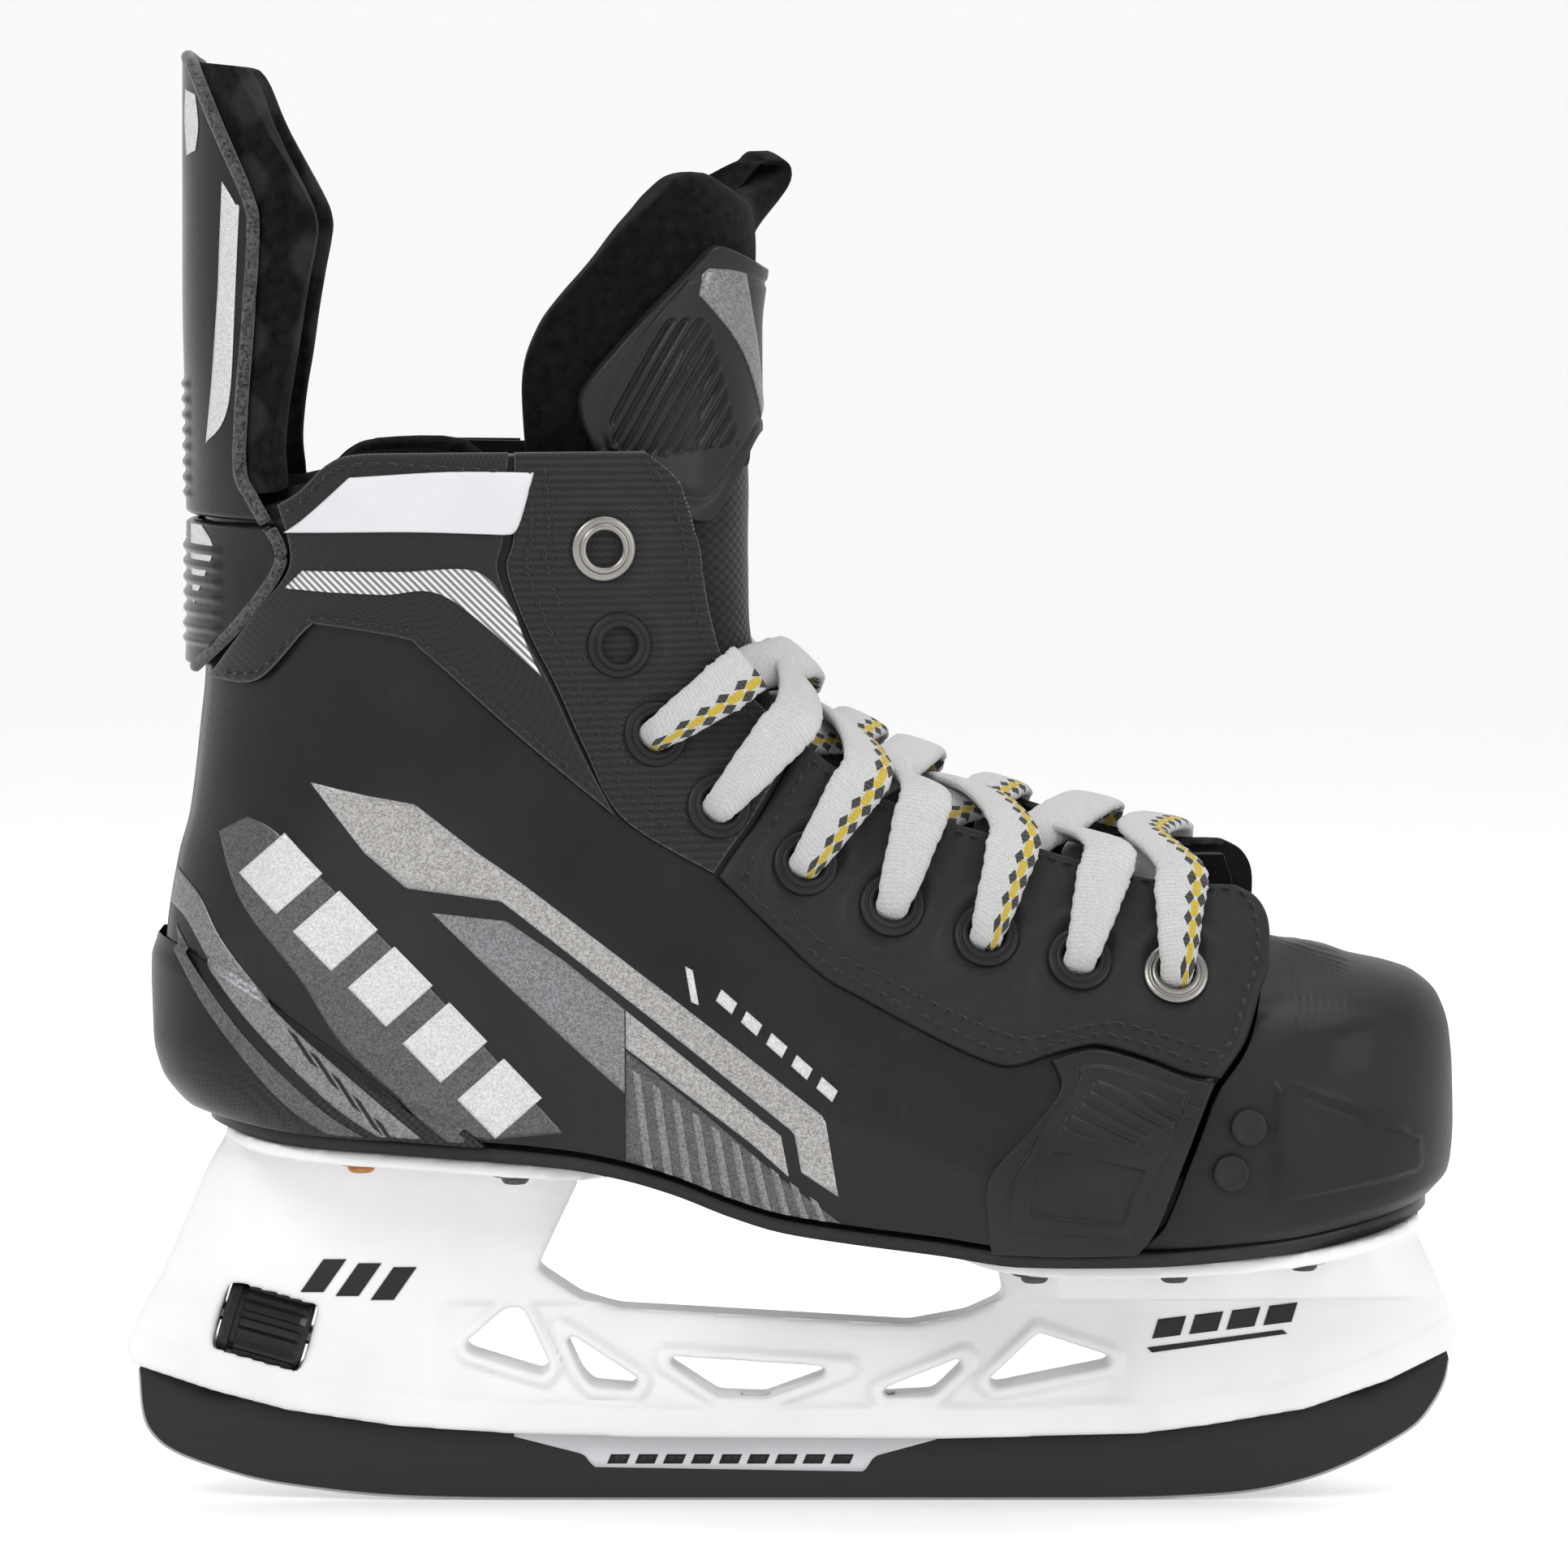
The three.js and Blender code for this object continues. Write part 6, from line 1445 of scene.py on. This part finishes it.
REAR_MARK = [(0, 0), (4.6, 0), (9.22, 6.6), (4.62, 6.6)]
FRONT_MARK = [(0, 0), (5.6, 0.7), (6.8, 4.6), (1.2, 3.9)]
for side, label in ((-1, "outer"), (1, "inner")):
    for i in range(3):
        thrown(f"rear_mark_{i + 1}_{label}", side, np.array(REAR_MARK) + [-98 + 7 * i, 43 - 0.8 * i])
    for i in range(4):
        thrown(f"front_mark_{i + 1}_{label}", side, np.array(FRONT_MARK) + [72 + 7.4 * i, 33.6 + 0.9 * i])
    thrown(f"front_mark_line_{label}", side, [(72, 30.8), (99, 34.6), (98, 35.4), (71, 31.8)])

# ---- Lock wheel ----
# A black fluted wheel that sits crosswise in the rear tower. Turning it draws the hook back off the
# runner's lug; its axis drops sixteen degrees towards the toe.
lock = next(joint for joint in frame["record"]["behaviour"]["joints"] if joint["name"] == "lock_wheel_spin")
lock_place, lock_axis = np.array(lock["pos_m"]) / MM, np.array(lock["axis"])
WHEEL_BLACK = gloss_plastic("wheel_black", (0.008, 0.008, 0.008), (0.016, 0.016, 0.016), 0.25, 0.4, coat=0.2,
                            skin=1500.0)
WHEEL_HALF, WHEEL_RADIUS = 8.7, 8.3
WHEEL_PROFILE = [
    (0, -WHEEL_HALF), (5.6, -WHEEL_HALF), (7.4, -8.5), (8.0, -7.9), (8.0, -6.4), (7.2, -6.2), (7.2, -5.2),
    (WHEEL_RADIUS, -5), (WHEEL_RADIUS, 0), (WHEEL_RADIUS, 6.6), (7.9, 7.8), (7.0, 8.6), (5, WHEEL_HALF),
    (0, WHEEL_HALF),
]
FLUTES, FLUTE_DEPTH = 14, 0.85
turn = np.linspace(0, 2 * np.pi, FLUTES * 14, endpoint=False)[:, None]
radius, height = np.array(WHEEL_PROFILE, float).T
fluted = (height > -5.1) & (height < 7) & (radius > 6)
radius = radius - FLUTE_DEPTH * ease((0.5 + np.cos(FLUTES * turn)) / 0.5) * fluted
across = np.array([0.0, 1.0, 0.0])
spoke = np.cos(turn) * across + np.sin(turn) * np.cross(lock_axis, across)
wheel_points = lock_place + spoke[:, None] * radius[..., None] + lock_axis * height[:, None]
wheel = mesh_of("lock_wheel_fluted", wheel_points, cells(len(turn), len(height), wrap=True), WHEEL_BLACK, "lock_wheel",
                np.stack(np.broadcast_arrays(turn * 8, height[None]), -1) * MM, smooth=False)
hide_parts("lock_wheel")
hook = frame["nodes"]["lock_hook"]
for slot_here in hook.material_slots:
    slot_here.material = BARE_METAL

# ---- Runner ----
# Three millimetres of steel with a dark coating, ground bright along its lower edge where it meets
# the ice. A white label with plain bars is printed on each side under the bridge.
RUNNER_UNDER = [
    (-130.9, 26.4), (-130.5, 19.4), (-129.4, 15), (-126.6, 11.5), (-122.2, 8.9), (-115, 6.3), (-106.4, 3.9),
    (-94.8, 2.1), (-82.5, 0.8), (-67.3, 0.2), (-42.9, 0), (45.1, 0), (68, 0.15), (80, 0.6), (90.6, 1.4), (98.8, 2.9),
    (107, 5.3), (115.3, 9), (124.4, 14.4), (128.4, 18.9), (131, 23.9), (131.8, 28.4),
]
RUNNER_HALF, GROUND_HALF = 1.5, 1.15  # half its thickness, and the same at the ground edge
RUNNER_LINES = np.array([0, 0.1, 0.22, 0.45, 1, 2, 4, 8, 12, 16]) / 16  # shares of its height, close at the edge


def coated_steel():
    """Dark coated steel with fine lengthwise grinding, bare and bright in the lowest half millimetre."""
    material, tree, shader, spot = blank("coated_steel", Specular_IOR_Level=0.2)
    stretched = node(tree, "ShaderNodeMapping", {"Vector": spot.outputs["Object"], "Scale": (40.0, 1.0, 2600.0)})
    lines = noise(tree, stretched.outputs["Vector"], 1.0, 3.0)
    up = node(tree, "ShaderNodeSeparateXYZ", {"Vector": spot.outputs["UV"]}).outputs["Y"]
    bare = remap(tree, up, from_min=0.0004, from_max=0.0007, to_min=1.0, to_max=0.0)
    dark = tinted(tree, lines, (0.0125, 0.0122, 0.0122), (0.021, 0.0205, 0.0205))
    colour = blended(tree, bare, dark, (0.36, 0.36, 0.36, 1))
    feed(tree, shader, Base_Color=colour, Metallic=bare, Roughness=remap(tree, lines, to_min=0.3, to_max=0.52))
    bump(tree, shader, lines, 0.02)
    return material


u, v = np.meshgrid(np.linspace(0, 1, 300), RUNNER_LINES, indexing="ij")
low = edge(RUNNER_UNDER)(u)
top_x = mix(-130.4, 131.2, u)
tang = 2.6 * ease((115 - np.abs(top_x)) / 9)
high = np.stack([top_x, foot_z(top_x) - CLEAR + tang], -1)
x, z = np.moveaxis(mix(low, high, v[..., None]), -1, 0)
half = mix(GROUND_HALF, RUNNER_HALF, np.clip(v / RUNNER_LINES[3], 0, 1))
rise = v * np.linalg.norm(high - low, axis=-1)
runner = slab("runner_steel", *[np.stack([x, s * half, z], -1) for s in (-1, 1)], coated_steel(), "runner",
              np.stack([x, rise], -1) * MM)
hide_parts("blade_runner")
LABEL_LINE = [(-55.6, 13), (-41.7, 9.4), (-39.6, 6.8), (14.6, 5.9), (16.6, 9), (29, 12.4)]
LABEL_SHARES = [0, 0.16, 0.2, 0.84, 0.88, 1]  # of the samples along it, close at the slanted ends
x, z = (np.interp(np.linspace(0, 1, 80), LABEL_SHARES, line)[:, None] for line in np.array(LABEL_LINE).T)
label_x, label_z = np.broadcast_arrays(x, mix(z, foot_z(x) + 0.6, np.linspace(0, 1, 6)))
u, v = np.meshgrid([0.0, 1.0], [0.0, 1.0], indexing="ij")
for side, label in ((-1, "outer"), (1, "inner")):
    field = np.stack([label_x, np.full(label_x.shape, side * RUNNER_HALF), label_z], -1)
    printed_on(f"runner_label_{label}", field, side, 0.12, 0.02, WHITE_PLATE, "runner")
    for i in range(9):
        bar_x = -37 + 5.6 * i + 3.9 * u + 0.8 * v
        field = np.stack([bar_x, np.full(u.shape, side * (RUNNER_HALF + FILM)), 7.5 + 1.9 * v], -1)
        printed_on(f"runner_bar_{i + 1}_{label}", field, side, 0.1, 0, MARK_BLACK, "runner")

# ---- Lace ----
# A flat, fluffy white cotton lace with a black and yellow tracer woven in near one edge. It bars
# the last pair of holes, criss-crosses up to the third pair, and both ends tuck in under the tongue.
LACE_WIDTH, LACE_THICK = 10.5, 2.9
LACE_TUBE = 1.15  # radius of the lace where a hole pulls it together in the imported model
LACE_OUT = FACING_OUT + 1.9 + LACE_TUBE
LACE_IN = -SHELL_WALL - 2.2
LAST_HOLE, TOP_HOLE = 9, 3
lip_samples = edge(THROAT[4:])(np.linspace(0, 1, 201))


def lip_near(hole):
    return lip_samples[np.argmin(np.hypot(*(lip_samples - hole).T))]


def lip_run(number):
    """The throat edge's direction in side view beside a hole, from the toe up to the collar."""
    low, high = lip_near(EYELETS[min(number, LAST_HOLE - 1)]), lip_near(EYELETS[min(number, LAST_HOLE - 1) - 1])
    return np.array([high[0] - low[0], 0, high[1] - low[1]]) / np.hypot(*(high - low))


def over_edge(side, number):
    """Stations out through a hole and over the facing's edge: place, width direction, and share of full width."""
    hole = np.array(EYELETS[number - 1])
    lip = lip_near(hole)
    run = np.array([lip[0] - hole[0], 0, lip[1] - hole[1]]) / np.hypot(*(lip - hole))
    past = on_side(side, *lip, LACE_OUT - 1.6) + 3 * run - [0, side * 1.6, 0]
    over = mix(hole, lip, 0.8)
    way = lip_run(number)
    return [(on_side(side, *hole, LACE_IN), way, 0.5), (on_side(side, *hole, LACE_OUT - 0.4), way, 0.62),
            (on_side(side, *over, LACE_OUT - 0.2), way, 1.0), (past, way, 1.0)]


def under_edge(side, number):
    """The station under the facing's edge beside a hole."""
    hole = np.array(EYELETS[number - 1])
    return on_side(side, *mix(hole, lip_near(hole), 0.85), LACE_IN - 0.2), lip_run(number), 0.9


def crossing(start, end, lift):
    """The station over the middle of the tongue between two holes, raised by `lift` square to the throat's edge."""
    low, high = lip_near(EYELETS[start - 1]), lip_near(EYELETS[end - 1])
    run = (high - low) / np.hypot(*(high - low))
    middle = (low + high) / 2
    x, z = middle[0] + run[1] * lift, middle[1] - run[0] * lift
    return np.array([x, float(centre(x)), z]), np.array([run[0], 0, run[1]]), 1.0


def climb(side, lift):
    """Stations of one end of the lace, from under the last hole on a side up to the top pair of holes it uses."""
    stations, at = [under_edge(side, LAST_HOLE)], side
    for number in range(LAST_HOLE, TOP_HOLE, -1):
        if number < LAST_HOLE:
            stations += over_edge(at, number)
        extra = 4 if number == TOP_HOLE + 1 else -3 if number == LAST_HOLE else 0
        stations.append(crossing(number, number - 1, lift + extra))
        at = -at
        stations.append(under_edge(at, number - 1))
    return stations + over_edge(at, TOP_HOLE)


def along_stations(places, fine):
    """A centripetal Catmull-Rom curve: between two stations, mixes of mixes of lines by the roots of their gaps."""
    ends = np.concatenate([[2 * places[0] - places[1]], places, [2 * places[-1] - places[-2]]])
    gap = np.sqrt(np.maximum(np.linalg.norm(np.diff(ends, axis=0), axis=1), 1e-6))
    knot = np.concatenate([[0], np.cumsum(gap)])
    t = knot[1:-2, None] + (knot[2:-1] - knot[1:-2])[:, None] * np.linspace(0, 1, fine, endpoint=False)
    p = [ends[k : len(ends) - 3 + k, None] for k in range(4)]
    k = [knot[i : len(ends) - 3 + i, None] for i in range(4)]

    def line(a, b, ka, kb):
        return ((kb - t) / (kb - ka))[..., None] * a + ((t - ka) / (kb - ka))[..., None] * b

    a1, a2, a3 = (line(p[i], p[i + 1], k[i], k[i + 1]) for i in range(3))
    b1, b2 = line(a1, a2, k[0], k[2]), line(a2, a3, k[1], k[3])
    return np.concatenate([line(b1, b2, k[1], k[2]).reshape(-1, 3), places[-1:]])


def lace_cloth():
    """White knit with a fluffy skin; its tracer repeats a yellow dash between two rows of black diamonds."""
    material, tree, shader, spot = blank("white_lace_cloth", Roughness=0.95, Sheen_Weight=0.2, Sheen_Roughness=0.6)
    along, across = node(tree, "ShaderNodeSeparateXYZ", {"Vector": spot.outputs["UV"]}).outputs[:2]
    beat = math(tree, "PINGPONG", along, 0.0024)  # 0 to 2.4 mm and back along the lace
    off = math(tree, "ABSOLUTE", math(tree, "SUBTRACT", across, -0.003))
    row = math(tree, "ABSOLUTE", math(tree, "SUBTRACT", off, 0.0013))
    reach = math(tree, "ADD", math(tree, "DIVIDE", row, 0.001), math(tree, "DIVIDE", beat, 0.0018))
    diamond = math(tree, "LESS_THAN", reach, 1.0)
    dash = math(tree, "MULTIPLY", math(tree, "LESS_THAN", off, 0.00085), math(tree, "GREATER_THAN", beat, 0.0004))
    face = node(tree, "ShaderNodeAttribute", attribute_name="printed_face").outputs["Fac"]
    shown = math(tree, "GREATER_THAN", face, 0.05)
    slant = math(tree, "MULTIPLY", math(tree, "ADD", along, math(tree, "ABSOLUTE", across)), 7400.0)
    knit = math(tree, "MULTIPLY", math(tree, "SINE", slant), math(tree, "SINE", math(tree, "MULTIPLY", across, 6200.0)))
    fluff = noise(tree, spot.outputs["Object"], 1500.0, 6.0, Roughness=0.75)
    level = math(tree, "ADD", math(tree, "MULTIPLY", knit, 0.3), fluff)
    colour = tinted(tree, math(tree, "MULTIPLY", level, 0.8), (0.6, 0.6, 0.6), (0.88, 0.88, 0.87))
    for part, paint in ((dash, (0.7, 0.5, 0.03, 1)), (diamond, (0.02, 0.02, 0.022, 1))):
        colour = blended(tree, math(tree, "MULTIPLY", part, shown), colour, paint)
    feed(tree, shader, Base_Color=colour)
    bump(tree, shader, level, 0.9)
    return material


bar = over_edge(-1, LAST_HOLE) + [crossing(LAST_HOLE, LAST_HOLE - 1, 8)] + over_edge(1, LAST_HOLE)[::-1]
stations = climb(-1, 6.6)[::-1] + bar + climb(1, 3.6)
places, ways, shares = (np.array(part, float) for part in zip(*stations))
lace_line = along_stations(places, 12)
station_at = np.arange(len(stations))
sample_at = np.linspace(0, len(stations) - 1, len(lace_line))
across = np.stack([np.interp(sample_at, station_at, ways[:, k]) for k in range(3)], -1)
share = np.interp(sample_at, station_at, shares)[:, None]
run = np.gradient(lace_line, axis=0)
run /= np.linalg.norm(run, axis=1, keepdims=True)
across = square_to(across, run)
for _ in range(3):
    across[1:-1] = (across[:-2] + across[1:-1] + across[2:]) / 3
across = square_to(across, run)
face = np.cross(run, across)
lace_s = line_length(lace_line)
turn = np.linspace(0, 2 * np.pi, 20, endpoint=False)
wave = 0.025 * np.sin(lace_s * 1.9) + 0.02 * np.sin(lace_s * 4.3)
half = LACE_WIDTH / 2 * share * (1 + wave[:, None])
thick = LACE_THICK / 2 * (1.5 - 0.5 * share)
side_way, face_way = (np.sign(way) * np.abs(way) ** 0.75 * size
                      for way, size in ((np.cos(turn), half), (np.sin(turn), thick)))
skin = lace_line[:, None] + across[:, None] * side_way[..., None] + face[:, None] * face_way[..., None]
lace_map = np.stack(np.broadcast_arrays(lace_s[:, None], side_way / np.maximum(share, 0.3)), -1).reshape(-1, 2)
lace_map = np.concatenate([lace_map, [[0, 0], [lace_s[-1], 0]]])
lace = swept("flat_lace", skin, (lace_line[:1], lace_line[-1:]), lace_cloth(), "boot", lace_map)
printed = lace.data.attributes.new("printed_face", "FLOAT", "POINT")
in_bar = np.abs(sample_at - (len(stations) - 1) / 2) < 4  # the bar lies with its printed face out
faced = np.where(in_bar, 1, -1)[:, None] * np.sin(turn)
printed.data.foreach_set("value", np.append(faced.ravel(), [0, 0]))
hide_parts("lace")
